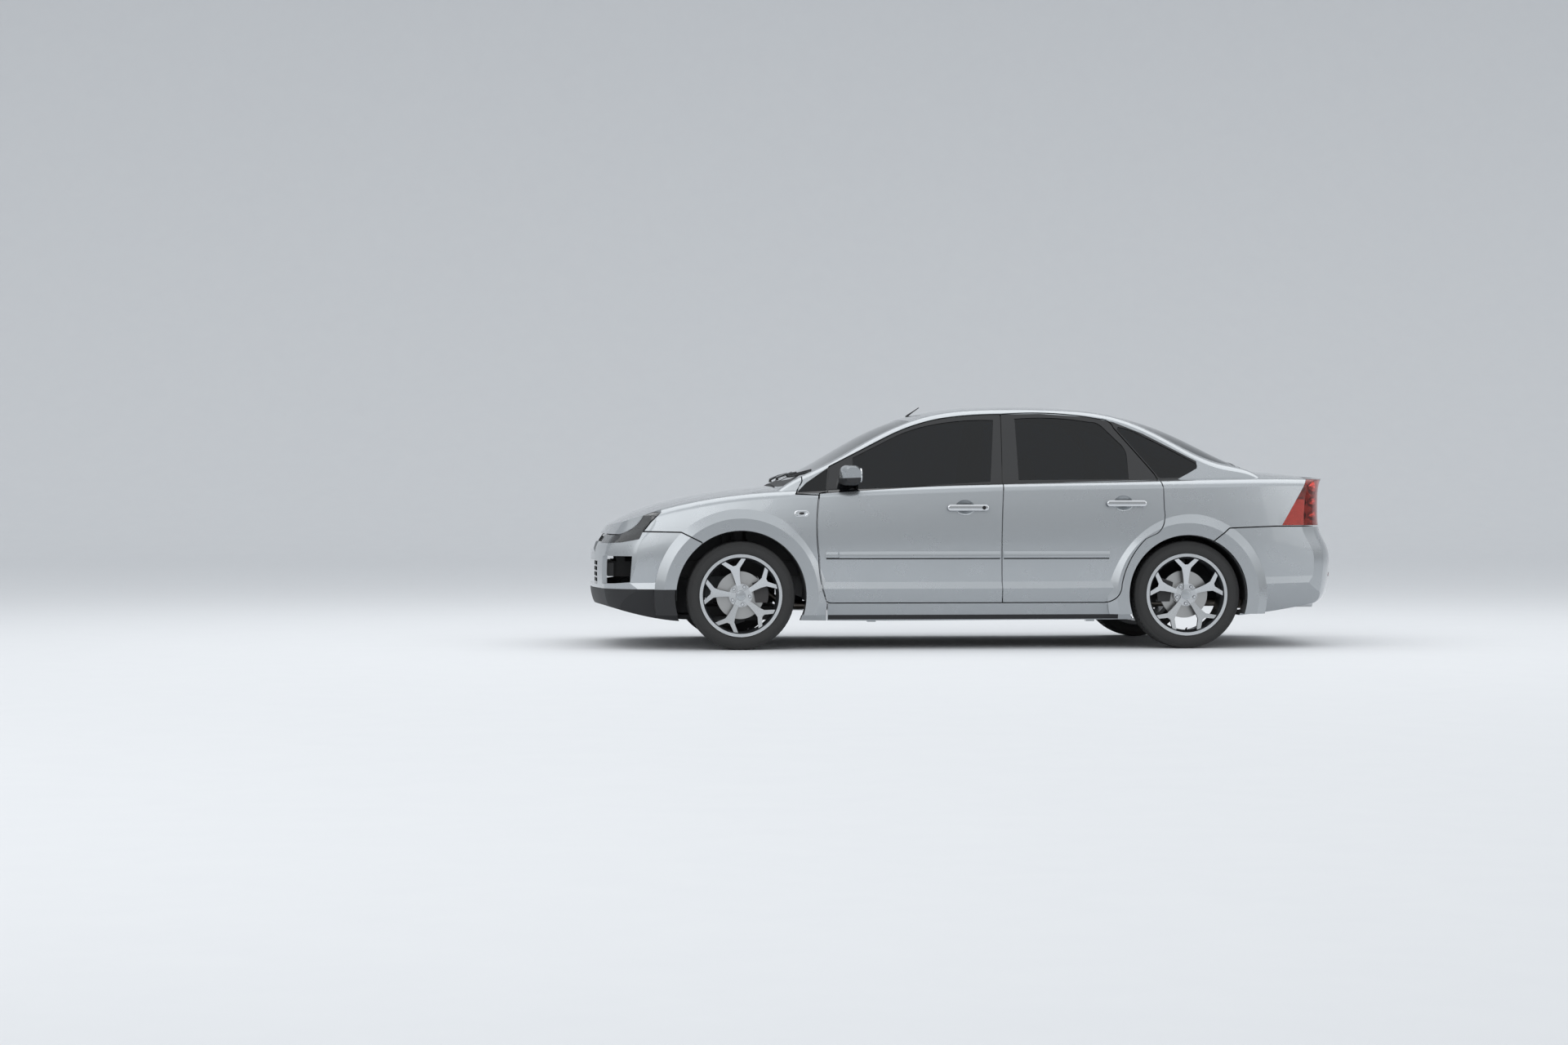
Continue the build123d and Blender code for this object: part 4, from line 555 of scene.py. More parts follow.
# Flat-woven seat cloth: charcoal threads with soft fuzz at grazing angles. The real threads are
# about 1 mm wide and are drawn at 1.6 mm to show.
SEAT_CLOTH = Finish(
    "charcoal_flat_weave", "#2B2D31", "#1C1D20", 0.88, sheen=0.35, ior=1.5,
    grain=Grain.WOVEN, grain_mm=1.6, depth_mm=0.35,
)
# Soft-grained dashboard foil: dark grey, matt.
DASH_FOIL = Finish(
    "soft_grained_foil", "#26272A", "#303135", 0.66, ior=1.5,
    grain=Grain.MOULDED, grain_mm=1.8, depth_mm=0.15,
)
# Dark chamber behind the headlamp's cover: nearly black moulded plastic with a soft gloss.
SMOKED_CHAMBER = Finish(
    "smoked_lamp_chamber", "#0C0D0F", "#121316", 0.24, coat=0.3, ior=1.45, grain_mm=20.0,
    depth_mm=0.02,
)
# Chamber behind the red lens: silvered plastic with a faint prism grain.
RED_CHAMBER = Finish(
    "silvered_lamp_chamber", "#B7B9BB", "#8A8D90", 0.24, metallic=1.0,
    grain=Grain.MOULDED, grain_mm=9.0, depth_mm=1.2,
)
# Orange acrylic of turn signals.
AMBER_LENS = Finish(
    "amber_acrylic_lens", "#E2700F", "#CF650C", 0.08, transmission=0.5, coat=0.8, ior=1.49,
    grain_mm=40.0, depth_mm=0.01,
)
# Needle-felt of the roof lining: light warm grey, dull.
HEADLINER = Finish(
    "needle_felt_lining", "#9B9892", "#8C8983", 0.95, sheen=0.2, ior=1.5,
    grain=Grain.CAST, grain_mm=1.5, depth_mm=0.15,
)
# Grained panels inside the doors: dark grey, matt.
DOOR_TRIM = Finish(
    "moulded_door_trim", "#2C2D30", "#36373A", 0.62, ior=1.5,
    grain=Grain.MOULDED, grain_mm=1.8, depth_mm=0.12,
)
# Tufted carpet of floor and boot: black-grey pile.
CARPET = Finish(
    "tufted_carpet", "#1F2022", "#2B2C2F", 0.95, sheen=0.3, ior=1.5,
    grain=Grain.CAST, grain_mm=2.0, depth_mm=0.8,
)
# Pale matt studio floor.
STUDIO_FLOOR = Finish(
    "pale_studio_paint", "#E6E8EA", "#E2E4E7", 0.9, ior=1.45, grain_mm=300.0, depth_mm=0.05
)

# The dark band of the side windows, between the belt and the roof line (x, z).
WINDOW_BAND = Zone(
    low=(
        (-1.052, 0.914), (-0.902, 0.914), (-0.662, 0.931), (-0.202, 0.960), (0.169, 0.969),
        (0.564, 0.983), (1.113, 0.997), (1.235, 1.001), (1.356, 1.066),
    ),
    high=(
        (-1.052, 0.914), (-0.985, 0.979), (-0.828, 1.086), (-0.642, 1.180), (-0.456, 1.272),
        (-0.316, 1.328), (-0.175, 1.361), (0.012, 1.380), (0.199, 1.387), (0.424, 1.391),
        (0.687, 1.373), (0.863, 1.343), (1.039, 1.273), (1.215, 1.182), (1.356, 1.108),
    ),
)
# The dark lower half of the door mirror (x, z).
MIRROR_BAND = Zone(low=((-0.90, 0.90), (-0.60, 0.90)), high=((-0.90, 1.000), (-0.60, 1.012)))

# CAD nodes of one finish: first the single ones, then those with a left and a right.
NODE_FINISHES: dict[str, Finish] = {
    "wheel_houses": UNDERBODY,
    "rear_panel": UNDERBODY,
    "front_chassis": CHASSIS_STEEL,
    "front_wings": SILVER,
    "front_bumper": SILVER,
    "front_valance": GRAINED_BLACK,
    "front_grille": GLOSS_BLACK,
    "rear_bumper": SILVER,
    "windscreen": TINTED_GLASS,
    "rear_window": TINTED_GLASS,
    "quarter_windows": TINTED_GLASS,
    "cowl_panel": GRAINED_BLACK,
    "dashboard": DASH_FOIL,
    "engine_block": CAST_ALUMINIUM,
    "front_seats": SEAT_CLOTH,
    "rear_seat": SEAT_CLOTH,
    "parcel_shelf": SILVER,
    "exhaust": EXHAUST_STEEL,
    "front_subframe": CHASSIS_STEEL,
    "rear_axle": CHASSIS_STEEL,
    "arch_liners": GRAINED_BLACK,
    "fuel_tank": GRAINED_BLACK,
    "bonnet": SILVER,
    "boot_lid": SILVER,
    "fuel_flap": SILVER,
    "steering_wheel": DASH_FOIL,
    "headlamps": CLEAR_LENS,
    "tail_lamps": RED_LENS,
}
SIDED_FINISHES: dict[str, Finish] = {
    "door_glass_front": TINTED_GLASS,
    "door_glass_rear": TINTED_GLASS,
    "knuckle_front": CAST_IRON,
    "brake_disc_front": DISC_IRON,
    "brake_disc_rear": DISC_IRON,
    "tyre_front": RUBBER,
    "tyre_rear": RUBBER,
}


def dress(target: bpy.types.Object, material: bpy.types.Material) -> None:
    """Give every material slot of an object the same material.

    Args:
        target: Object to dress.
        material: Its material.
    """
    if not target.material_slots:
        target.data.materials.append(material)
    for slot in target.material_slots:
        slot.material = material


def new_piece(
    name: str,
    vertices: Sequence[Vector | Point3],
    faces: Sequence[Sequence[int]],
    finish: Finish,
    body: str,
    smooth_angle: float = 35.0,
) -> bpy.types.Object:
    """Make a mesh piece in the car's frame that rides on a body.

    Args:
        name: The piece's name.
        vertices: Points in metres.
        faces: Corner indices of each face.
        finish: Its finish.
        body: CAD body it rides on.
        smooth_angle: Edges sharper than this stay crisp, in degrees.

    Returns:
        The object.
    """
    mesh = bpy.data.meshes.new(name)
    mesh.from_pydata([tuple(v) for v in vertices], [], [tuple(f) for f in faces])
    form = bmesh.new()
    form.from_mesh(mesh)
    bmesh.ops.remove_doubles(form, verts=form.verts, dist=1e-6)
    bmesh.ops.recalc_face_normals(form, faces=form.faces)
    limit = math.radians(smooth_angle)
    for face in form.faces:
        face.smooth = True
    for edge in form.edges:
        edge.smooth = len(edge.link_faces) == 2 and edge.calc_face_angle(0.0) < limit
    form.to_mesh(mesh)
    form.free()
    piece = bpy.data.objects.new(name, mesh)
    bpy.context.scene.collection.objects.link(piece)
    dress(piece, finish.material())
    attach(piece, body)
    LOG.info("%s on %s", name, body)
    return piece


def swept_faces(steps: int, count: int, closed: bool) -> Faces:
    """Faces between rows of points that go once round an axis.

    Args:
        steps: Number of rows; the last one joins the first.
        count: Points in a row.
        closed: Whether a row's last point joins its first.

    Returns:
        The faces' corner indices.
    """
    faces: Faces = []
    for step in range(steps):
        here, there = step * count, ((step + 1) % steps) * count
        for index in range(count if closed else count - 1):
            after = (index + 1) % count
            faces.append((here + index, here + after, there + after, there + index))
    return faces


def ring_faces(rows: int, count: int, capped: bool = True) -> Faces:
    """Faces between closed rows of points that follow each other.

    Args:
        rows: Number of rows.
        count: Points in a row.
        capped: Whether the first and the last row get an end face.

    Returns:
        The faces' corner indices.
    """
    faces: Faces = []
    for row in range(rows - 1):
        here, there = row * count, (row + 1) * count
        for index in range(count):
            after = (index + 1) % count
            faces.append((here + index, here + after, there + after, there + index))
    if capped:
        faces.append(tuple(range(count)))
        faces.append(tuple(range((rows - 1) * count, rows * count)))
    return faces


def revolved(
    profile: Sequence[Point2],
    centre: Vector,
    axis: Vector,
    segments: int,
    closed: bool = False,
) -> tuple[list[Vector], Faces]:
    """Turn a profile about an axis.

    Args:
        profile: Points (distance along the axis, radius).
        centre: Point on the axis that distances start from.
        axis: Direction of the axis.
        segments: Number of steps round.
        closed: Whether the profile's last point joins its first.

    Returns:
        Vertices and faces.
    """
    along = axis.normalized()
    across = along.orthogonal().normalized()
    third = along.cross(across)
    vertices: list[Vector] = []
    for step in range(segments):
        turn = 2 * math.pi * step / segments
        out = across * math.cos(turn) + third * math.sin(turn)
        vertices += [centre + along * d + out * r for d, r in profile]
    return vertices, swept_faces(segments, len(profile), closed)


def box_mesh(low: Point3, high: Point3) -> tuple[list[Point3], Faces]:
    """Corners and faces of a box.

    Args:
        low: Its corner with the least of each coordinate.
        high: The opposite corner.

    Returns:
        Vertices and faces.
    """
    (x0, y0, z0), (x1, y1, z1) = low, high
    vertices = [(x, y, z) for x in (x0, x1) for y in (y0, y1) for z in (z0, z1)]
    faces = [(0, 1, 3, 2), (4, 6, 7, 5), (0, 4, 5, 1), (2, 3, 7, 6), (0, 2, 6, 4), (1, 5, 7, 3)]
    return vertices, faces


def stadium(x: float, z: float, length: float, height: float, steps: int = 10) -> list[Point2]:
    """Outline of a slot with round ends, seen from the side.

    Args:
        x: Its middle along the car.
        z: Its middle's height.
        length: Over its round ends.
        height: Its height.
        steps: Steps round each end.

    Returns:
        Points (x, z) in order.
    """
    radius, reach = height / 2, max(0.0, length / 2 - height / 2)
    points: list[Point2] = []
    for end, start in ((1, -90), (-1, 90)):
        for step in range(steps + 1):
            turn = math.radians(start + 180 * step / steps)
            points.append((
                x + end * reach + radius * math.cos(turn), z + radius * math.sin(turn)
            ))
    return points


def tube(
    path: Sequence[Vector], radii: Sequence[float], sides: int = 12
) -> tuple[list[Vector], Faces]:
    """Round bar along a path.

    Args:
        path: Points of its middle line.
        radii: Radius at each point.
        sides: Number of sides.

    Returns:
        Vertices and faces.
    """
    vertices: list[Vector] = []
    up = Vector((0.0, 0.0, 1.0))
    for index, point in enumerate(path):
        before, after = path[max(0, index - 1)], path[min(len(path) - 1, index + 1)]
        along = (after - before).normalized()
        level = abs(along.dot(up)) < 0.9
        side = along.cross(up if level else Vector((0.0, 1.0, 0.0))).normalized()
        third = side.cross(along)
        for step in range(sides):
            turn = 2 * math.pi * step / sides
            out = side * math.cos(turn) + third * math.sin(turn)
            vertices.append(point + out * radii[index])
    return vertices, ring_faces(len(path), sides)


def rounded(piece: bpy.types.Object, radius: float, steps: int = 3) -> None:
    """Round the edges of a piece with a bevel modifier.

    Args:
        piece: Object whose sharp edges are rounded.
        radius: Width of the bevel in metres.
        steps: Number of faces across it.
    """
    bevel = piece.modifiers.new("rounding", "BEVEL")
    bevel.width = radius
    bevel.segments = steps
    bevel.limit_method = "ANGLE"
    bevel.harden_normals = True


class Skin:
    """Outer surface of some CAD nodes, on which trim is laid."""

    def __init__(self, frame: dict, nodes: Sequence[str]) -> None:
        """Collect the triangles of the nodes.

        Args:
            nodes: Names of the CAD nodes.
        """
        points: list[Vector] = []
        faces: Faces = []
        for name in nodes:
            mesh = frame["nodes"][name].data
            start = len(points)
            points += [v.co.copy() for v in mesh.vertices]
            faces += [tuple(start + i for i in p.vertices) for p in mesh.polygons]
        self.tree = BVHTree.FromPolygons(points, faces)

    def cast(self, start: Point3, direction: Point3) -> tuple[Vector, Vector] | None:
        """First point of the skin that a ray meets.

        Args:
            start: Where the ray starts.
            direction: Its direction.

        Returns:
            The point and the normal that faces the ray, or None where it meets nothing.
        """
        hit, normal, _, _ = self.tree.ray_cast(Vector(start), Vector(direction))
        if hit is None:
            return None
        return hit, (normal if normal.dot(Vector(direction)) < 0 else -normal)

    def side(self, x: float, z: float, sign: int) -> tuple[Vector, Vector] | None:
        """Point and normal of the car's side.

        Args:
            x: Place along the car.
            z: Height.
            sign: -1 for the left side, 1 for the right.

        Returns:
            What cast returns.
        """
        return self.cast((x, sign * RAY_FROM_SIDE, z), (0.0, -sign, 0.0))

    def nose(self, y: float, z: float) -> tuple[Vector, Vector] | None:
        """Point and normal of the car's front at a place across it and a height."""
        return self.cast((-RAY_FROM_END, y, z), (1.0, 0.0, 0.0))

    def tail(self, y: float, z: float) -> tuple[Vector, Vector] | None:
        """Point and normal of the car's back at a place across it and a height."""
        return self.cast((RAY_FROM_END, y, z), (-1.0, 0.0, 0.0))

    def top(self, x: float, y: float) -> tuple[Vector, Vector] | None:
        """Point and normal of the car's upper side at a place."""
        return self.cast((x, y, RAY_FROM_ABOVE), (0.0, 0.0, -1.0))


# Cross section of a moulding, as shares of its width, from below, and of how far it stands out.
# It is fullest near its lower edge, and the face above leans back to catch the light.
MOULDING_SECTION = (
    (-0.5, -0.4), (-0.5, 0.70), (-0.42, 0.94), (-0.28, 1.0), (0.10, 0.86), (0.36, 0.62),
    (0.5, 0.30), (0.5, -0.4),
)


@dataclass
class Moulding:
    """A strip laid along the car's side: trim, or a thin black strip of painted shadow.

    Attributes:
        name: Name of the piece.
        path: Points (x, z) of its middle line.
        width: Its height on the side, in metres.
        proud: How far it stands out.
        finish: Its finish.
        body: CAD body it rides on.
        sign: -1 for the left side, 1 for the right.
        step: Distance between its cross sections.
    """

    name: str
    path: tuple[Point2, ...]
    width: float
    proud: float
    finish: Finish
    body: str
    sign: int
    step: float = 0.02

    def stations(self) -> list[tuple[float, float, Vector]]:
        """Places along the path with the direction across it, as x, z and a unit vector."""
        places: list[tuple[float, float, Vector]] = []
        for (x0, z0), (x1, z1) in zip(self.path, self.path[1:]):
            length = math.hypot(x1 - x0, z1 - z0)
            count = max(1, round(length / self.step))
            across = Vector((-(z1 - z0), 0.0, x1 - x0)) / length
            for index in range(count):
                share = index / count
                places.append((x0 + (x1 - x0) * share, z0 + (z1 - z0) * share, across))
        last = self.path[-1]
        places.append((last[0], last[1], places[-1][2]))
        smooth: list[tuple[float, float, Vector]] = []
        for index, (x, z, _) in enumerate(places):
            near = [places[j][2] for j in (index - 1, index, index + 1) if 0 <= j < len(places)]
            total = sum(near, Vector((0.0, 0.0, 0.0)))
            smooth.append((x, z, total.normalized()))
        return smooth

    def build(self, skin: Skin) -> bpy.types.Object | None:
        """Lay the strip on a skin.

        Args:
            skin: Surface that carries it.

        Returns:
            The piece, or None where the skin isn't met.
        """
        rings: list[list[Vector]] = []
        for x, z, across in self.stations():
            ring: list[Vector] = []
            for share, height in MOULDING_SECTION:
                px, pz = x + across.x * share * self.width, z + across.z * share * self.width
                met = skin.side(px, pz, self.sign)
                if met is None:
                    break
                point, normal = met
                ring.append(point + normal * (height * self.proud))
            if len(ring) == len(MOULDING_SECTION):
                rings.append(ring)
        if len(rings) < 2:
            return None
        vertices = [point for ring in rings for point in ring]
        faces = ring_faces(len(rings), len(MOULDING_SECTION))
        return new_piece(self.name, vertices, faces, self.finish, self.body, 50.0)


class Band(Enum):
    """Part of a tyre's profile."""

    WALL = "smooth side wall"
    GROOVE = "groove round the tyre"
    RIB = "rib in the middle of the tread, with shallow cuts"
    SHOULDER = "outer part of the tread, with deep cuts"


@dataclass
class Tyre:
    """Low-profile road tyre with a ribbed tread, moulded sidewalls and a bead.

    Attributes:
        radius: Over the tread, in metres.
        bead: Radius at the rim.
        groove: Depth of the tread.
        pitches: Number of cuts round a rib.
        segments: Steps round the tyre.
        tread_half: Half of the tread's width between the walls.
        tread_step: Distance between the tread's points across.
        crown: How much lower the tread is at its edges than in the middle.
        grooves: Distances of the grooves from the middle.
        groove_half: Half of a groove's width.
        shoulder: Distance from the middle at which the shoulder begins.
        rib_cut: Depth of the ribs' cuts as a share of the groove.
        shoulder_cut: Depth of the shoulders' cuts as a share of the groove.
        rib_lean: Distance across over which the ribs' cuts move on by one step.
        shoulder_lean: Distance across over which the shoulders' cuts do.
    """

    radius: float = 0.3185
    bead: float = 0.2283
    groove: float = 0.0072
    pitches: int = 72
    segments: int = 288
    tread_half: float = 0.088
    tread_step: float = 0.002
    crown: float = 0.0022
    grooves: Point2 = (0.017, 0.052)
    groove_half: float = 0.0042
    shoulder: float = 0.0565
    rib_cut: float = 0.5
    shoulder_cut: float = 0.75
    rib_lean: float = 0.0125
    shoulder_lean: float = 0.03

    def wall(self) -> list[Point2]:
        """Half profile from the bead out to the shoulder, as (width, radius)."""
        return [
            (0.0985, self.bead), (0.0990, 0.2420), (0.1000, 0.2455), (0.1062, 0.2500),
            (0.1066, 0.2525), (0.1090, 0.2560), (0.1110, 0.2620), (0.1126, 0.2720),
            (0.1127, 0.2760), (0.1118, 0.2830), (0.1104, 0.2890), (0.1108, 0.2900),
            (0.1098, 0.2925), (0.1086, 0.2930), (0.1060, 0.2990), (0.1030, 0.3050),
            (0.1005, 0.3090), (0.0975, 0.3125), (0.0930, 0.3150),
        ]

    def tread(self) -> list[tuple[float, float, Band]]:
        """Tread profile across, as width, radius and part of the tyre."""
        rows: list[tuple[float, float, Band]] = []
        steps = round(self.tread_half / self.tread_step)
        for index in range(-steps, steps + 1):
            width = index * self.tread_step
            radius = self.radius - self.crown * (abs(width) / self.tread_half) ** 2
            if any(abs(abs(width) - middle) < self.groove_half for middle in self.grooves):
                band = Band.GROOVE
            elif abs(width) > self.shoulder:
                band = Band.SHOULDER
            else:
                band = Band.RIB
            rows.append((width, radius, band))
        return rows

    def depth(self, width: float, band: Band, step: int) -> float:
        """Depth of the tread's pattern at a place.

        Args:
            width: Distance from the tyre's middle.
            band: Part of the tyre.
            step: Step round the tyre.

        Returns:
            How far the surface lies below the tread, in metres.
        """
        if band is Band.WALL:
            return 0.0
        if band is Band.GROOVE:
            return self.groove
        if band is Band.RIB:
            lean, share = int(round(abs(width) / self.rib_lean)), self.rib_cut
        else:
            lean, share = int(abs(width) / self.shoulder_lean), self.shoulder_cut
        in_cut = (step + lean) % (self.segments // self.pitches) == 0
        return self.groove * share if in_cut else 0.0

    def build(self, place: str, side: str, centre: Vector) -> bpy.types.Object:
        """Build the tyre in place of its CAD node.

        Args:
            place: "front" or "rear".
            side: "left" or "right".
            centre: Middle of the wheel.

        Returns:
            The tyre.
        """
        wall = self.wall()
        profile = [(-w, r, Band.WALL) for w, r in wall] + self.tread()
        profile += [(w, r, Band.WALL) for w, r in reversed(wall)]
        vertices: list[Vector] = []
        for step in range(self.segments):
            turn = 2 * math.pi * step / self.segments
            for width, radius, band in profile:
                r = radius - self.depth(width, band, step)
                vertices.append(
                    centre + Vector((r * math.cos(turn), width, r * math.sin(turn)))
                )
        faces = swept_faces(self.segments, len(profile), closed=True)
        piece = new_piece(
            f"road_tyre_{place}_{side}", vertices, faces, RUBBER, f"wheel_{place}_{side}", 32.0
        )
        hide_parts(f"tyre_{place}_{side}")
        return piece


# Half sections of the wheel's small pieces, as (distance outboard, radius). The cap's distances
# are from the hub's face, the bolt's from the wheel's middle and the valve's from its own foot.
CAP_SECTION = (
    (0.0046, 0.0), (0.0044, 0.012), (0.0034, 0.021), (0.0024, 0.0262), (0.0030, 0.0270),
    (0.0030, 0.0286), (0.0018, 0.0296), (-0.004, 0.0300),
)
BOLT_SECTION = (
    (0.0550, 0.0098), (0.0598, 0.0098), (0.0604, 0.0092), (0.0604, 0.0086), (0.0690, 0.0084),
    (0.0702, 0.0074), (0.0702, 0.0001),
)
VALVE_SECTION = (
    (0.0, 0.0052), (0.012, 0.0048), (0.014, 0.0036), (0.028, 0.0036), (0.029, 0.003),
    (0.029, 0.0001),
)


@dataclass
class WheelTrim:
    """Centre cap, wheel bolts and valve of an alloy wheel.

    Attributes:
        face: Distance of the hub's face outboard of the wheel's middle.
        bolt_circle: Radius of the circle of bolts.
        bolts: Number of bolts.
        bolt_sides: Sides of a bolt's head.
        valve_circle: Distance of the valve from the wheel's middle.
        valve_foot: Distance of the valve's foot outboard of the wheel's middle.
        valve_lean: How much the valve leans upwards, as a share of its way outboard.
        turns: Degrees by which the rims' spokes are turned, front and rear.
    """

    face: float = 0.076
    bolt_circle: float = 0.054
    bolts: int = 5
    bolt_sides: int = 12
    valve_circle: float = 0.206
    valve_foot: float = 0.070
    valve_lean: float = 0.35
    turns: tuple[tuple[str, float], ...] = (("front", 12.0), ("rear", 0.0))

    def build(self, place: str, side: str, sign: int, centre: Vector) -> None:
        """Add the small pieces to one wheel.

        Args:
            place: "front" or "rear".
            side: "left" or "right".
            sign: -1 for the left side.
            centre: Middle of the wheel.
        """
        body = f"wheel_{place}_{side}"
        out = Vector((0.0, sign, 0.0))
        cap = [(self.face + distance, radius) for distance, radius in CAP_SECTION]
        vertices, faces = revolved(cap, centre, out, 48)
        new_piece(f"wheel_cap_{place}_{side}", vertices, faces, SILVER, body, 30.0)
        lean = dict(self.turns)[place]
        pitch = 360 / self.bolts
        heads: list[Vector] = []
        head_faces: Faces = []
        for index in range(self.bolts):
            turn = math.radians(90 + pitch / 2 + pitch * index + lean)
            middle = centre + Vector(
                (self.bolt_circle * math.cos(turn), 0.0, self.bolt_circle * math.sin(turn))
            )
            vertices, faces = revolved(BOLT_SECTION, middle, out, self.bolt_sides)
            start = len(heads)
            heads += vertices
            head_faces += [tuple(start + i for i in face) for face in faces]
        new_piece(f"wheel_bolts_{place}_{side}", heads, head_faces, BRIGHT_METAL, body, 25.0)
        low = math.radians(lean - 90)
        stem = centre + Vector((
            self.valve_circle * math.cos(low), sign * self.valve_foot,
            self.valve_circle * math.sin(low),
        ))
        way = Vector((0.0, sign, self.valve_lean))
        vertices, faces = revolved(VALVE_SECTION, stem, way, 16)
        new_piece(f"tyre_valve_{place}_{side}", vertices, faces, GRAINED_BLACK, body, 30.0)


@dataclass
class Pad:
    """Small domed piece laid on a skin by its outline, such as a lamp or a cover.

    Attributes:
        name: Name of the piece.
        outline: Points (x, z) seen from the car's side, or (y, z) seen from behind.
        proud: How far its rim stands out, in metres.
        dome: How much further its middle does.
        finish: Its finish.
        body: CAD body it rides on.
        sign: -1 for the left side, 1 for the right, 0 for the tail.
    """

    name: str
    outline: Sequence[Point2]
    proud: float
    dome: float
    finish: Finish
    body: str
    sign: int

    def build(self, skin: Skin) -> bpy.types.Object | None:
        """Lay the piece on a skin.

        Args:
            skin: Surface that carries it.

        Returns:
            The piece, or None where the skin isn't met.
        """
        middle = (
            sum(a for a, _ in self.outline) / len(self.outline),
            sum(b for _, b in self.outline) / len(self.outline),
        )
        # Rows from the rim's foot, which is sunk into the skin, up to near the middle.
        levels = (
            (1.0, -0.0015), (1.0, self.proud * 0.7), (0.95, self.proud),
            (0.75, self.proud + self.dome * 0.5), (0.45, self.proud + self.dome * 0.85),
            (0.12, self.proud + self.dome),
        )
        vertices: list[Vector] = []
        for share, height in levels:
            for a, b in self.outline:
                pa = middle[0] + (a - middle[0]) * share
                pb = middle[1] + (b - middle[1]) * share
                met = skin.side(pa, pb, self.sign) if self.sign else skin.tail(pa, pb)
                if met is None:
                    LOG.warning("%s misses its skin", self.name)
                    return None
                vertices.append(met[0] + met[1] * height)
        faces = ring_faces(len(levels), len(self.outline))
        return new_piece(self.name, vertices, faces, self.finish, self.body, 40.0)


# Half section of a door's lock, as (distance outboard of the grip's face, radius).
LOCK_SECTION = ((-0.002, 0.0115), (0.0012, 0.0115), (0.0018, 0.0105), (0.0018, 0.0001))


@dataclass
class Handle:
    """Bright grip over a door handle's bar with the cup behind it, and a lock on one of them.

    Attributes:
        front: Its front end along the car.
        rear: Its rear end.
        height: Its middle's height.
        lock: Whether it has a key slot.
        cup_middle: Middle of the cup behind it, along the car.
        outer: Distance of its face from the car's middle.
        breadth: Height of the bar.
        cup_size: Width and height of the cup.
        cup_floor: Distance of the cup's floor from the car's middle.
        cup_margin: Distance above and below the cup at which the door's skin is measured.
        cup_lift: How far the cup's rim stands over the skin.
        cup_steps: Steps round the cup.
        cup_round: Power that rounds the cup's wall into its floor.
        lock_inset: Distance of the lock from the grip's rear end.
    """

    front: float
    rear: float
    height: float
    lock: bool
    cup_middle: float
    outer: float = 0.9205
    breadth: float = 0.0355
    cup_size: Point2 = (0.118, 0.092)
    cup_floor: float = 0.8746
    cup_margin: float = 0.008
    cup_lift: float = 0.0008
    cup_steps: int = 56
    cup_round: float = 0.62
    lock_inset: float = 0.030

    def cup(self, skin: Skin, door: str, side: str, sign: int) -> None:
        """Round out the cup behind the grip into a dish.

        Args:
            skin: The door's outer surface.
            door: "front" or "rear".
            side: "left" or "right".
            sign: -1 for the left side.
        """
        half_x, half_z = self.cup_size[0] / 2, self.cup_size[1] / 2
        reach = half_z + self.cup_margin
        above = skin.side(self.cup_middle, self.height + reach, sign)
        below = skin.side(self.cup_middle, self.height - reach, sign)
        if above is None or below is None:
            return
        slope = (abs(above[0].y) - abs(below[0].y)) / (2 * reach)
        middle_y = (abs(above[0].y) + abs(below[0].y)) / 2
        vertices: list[Point3] = []
        shares = (1.035, 1.0, 0.97, 0.92, 0.84, 0.72, 0.56, 0.38, 0.18)
        for share in shares:
            for step in range(self.cup_steps):
                turn = 2 * math.pi * step / self.cup_steps
                x = self.cup_middle + half_x * share * math.cos(turn)
                z = half_z * share * math.sin(turn)
                rim = middle_y + slope * z + self.cup_lift
                sunk = max(0.0, 1 - share**2) ** self.cup_round
                y = rim - (rim - self.cup_floor) * sunk
                vertices.append((x, sign * y, self.height + z))
        dish = ring_faces(len(shares), self.cup_steps, capped=False)
        dish.append(tuple(range(len(vertices) - self.cup_steps, len(vertices))))
        new_piece(
            f"handle_cup_{door}_{side}", vertices, dish, SILVER, f"door_{door}_{side}", 40.0
        )

    def build(self, door: str, side: str, sign: int) -> None:
        """Build the grip and the lock on one door.

        Args:
            door: "front" or "rear".
            side: "left" or "right".
            sign: -1 for the left side.
        """
        body = f"door_{door}_{side}"
        length = self.rear - self.front
        levels = (
            (0.0000, self.outer - 0.0160), (0.0006, self.outer - 0.0080),
            (0.0000, self.outer - 0.0042), (-0.0022, self.outer - 0.0016),
            (-0.0055, self.outer - 0.0003), (-0.0100, self.outer),
        )
        vertices: list[Point3] = []
        for grow, y in levels:
            outline = stadium(
                (self.front + self.rear) / 2, self.height, length + 2 * grow,
                self.breadth + 2 * grow, 12,
            )
            vertices += [(x, sign * y, z) for x, z in outline]
        count = len(vertices) // len(levels)
        new_piece(
            f"handle_grip_{door}_{side}", vertices, ring_faces(len(levels), count),
            BRIGHT_METAL, body, 30.0,
        )
        if self.lock:
            centre = Vector((self.rear - self.lock_inset, sign * self.outer, self.height))
            lock, lock_faces = revolved(LOCK_SECTION, centre, Vector((0.0, sign, 0.0)), 24)
            new_piece(f"door_lock_{door}_{side}", lock, lock_faces, GLOSS_BLACK, body, 30.0)


@dataclass
class LampUnit:
    """A round reflector bowl with its bulb or projector inside a lamp.

    Attributes:
        y: Distance of its middle from the car's middle.
        z: Height of its middle.
        radius: Radius of its mouth.
        depth: Depth of the bowl.
        glow: Finish of the small lens or bulb in its middle.
    """

    y: float
    z: float
    radius: float
    depth: float
    glow: Finish


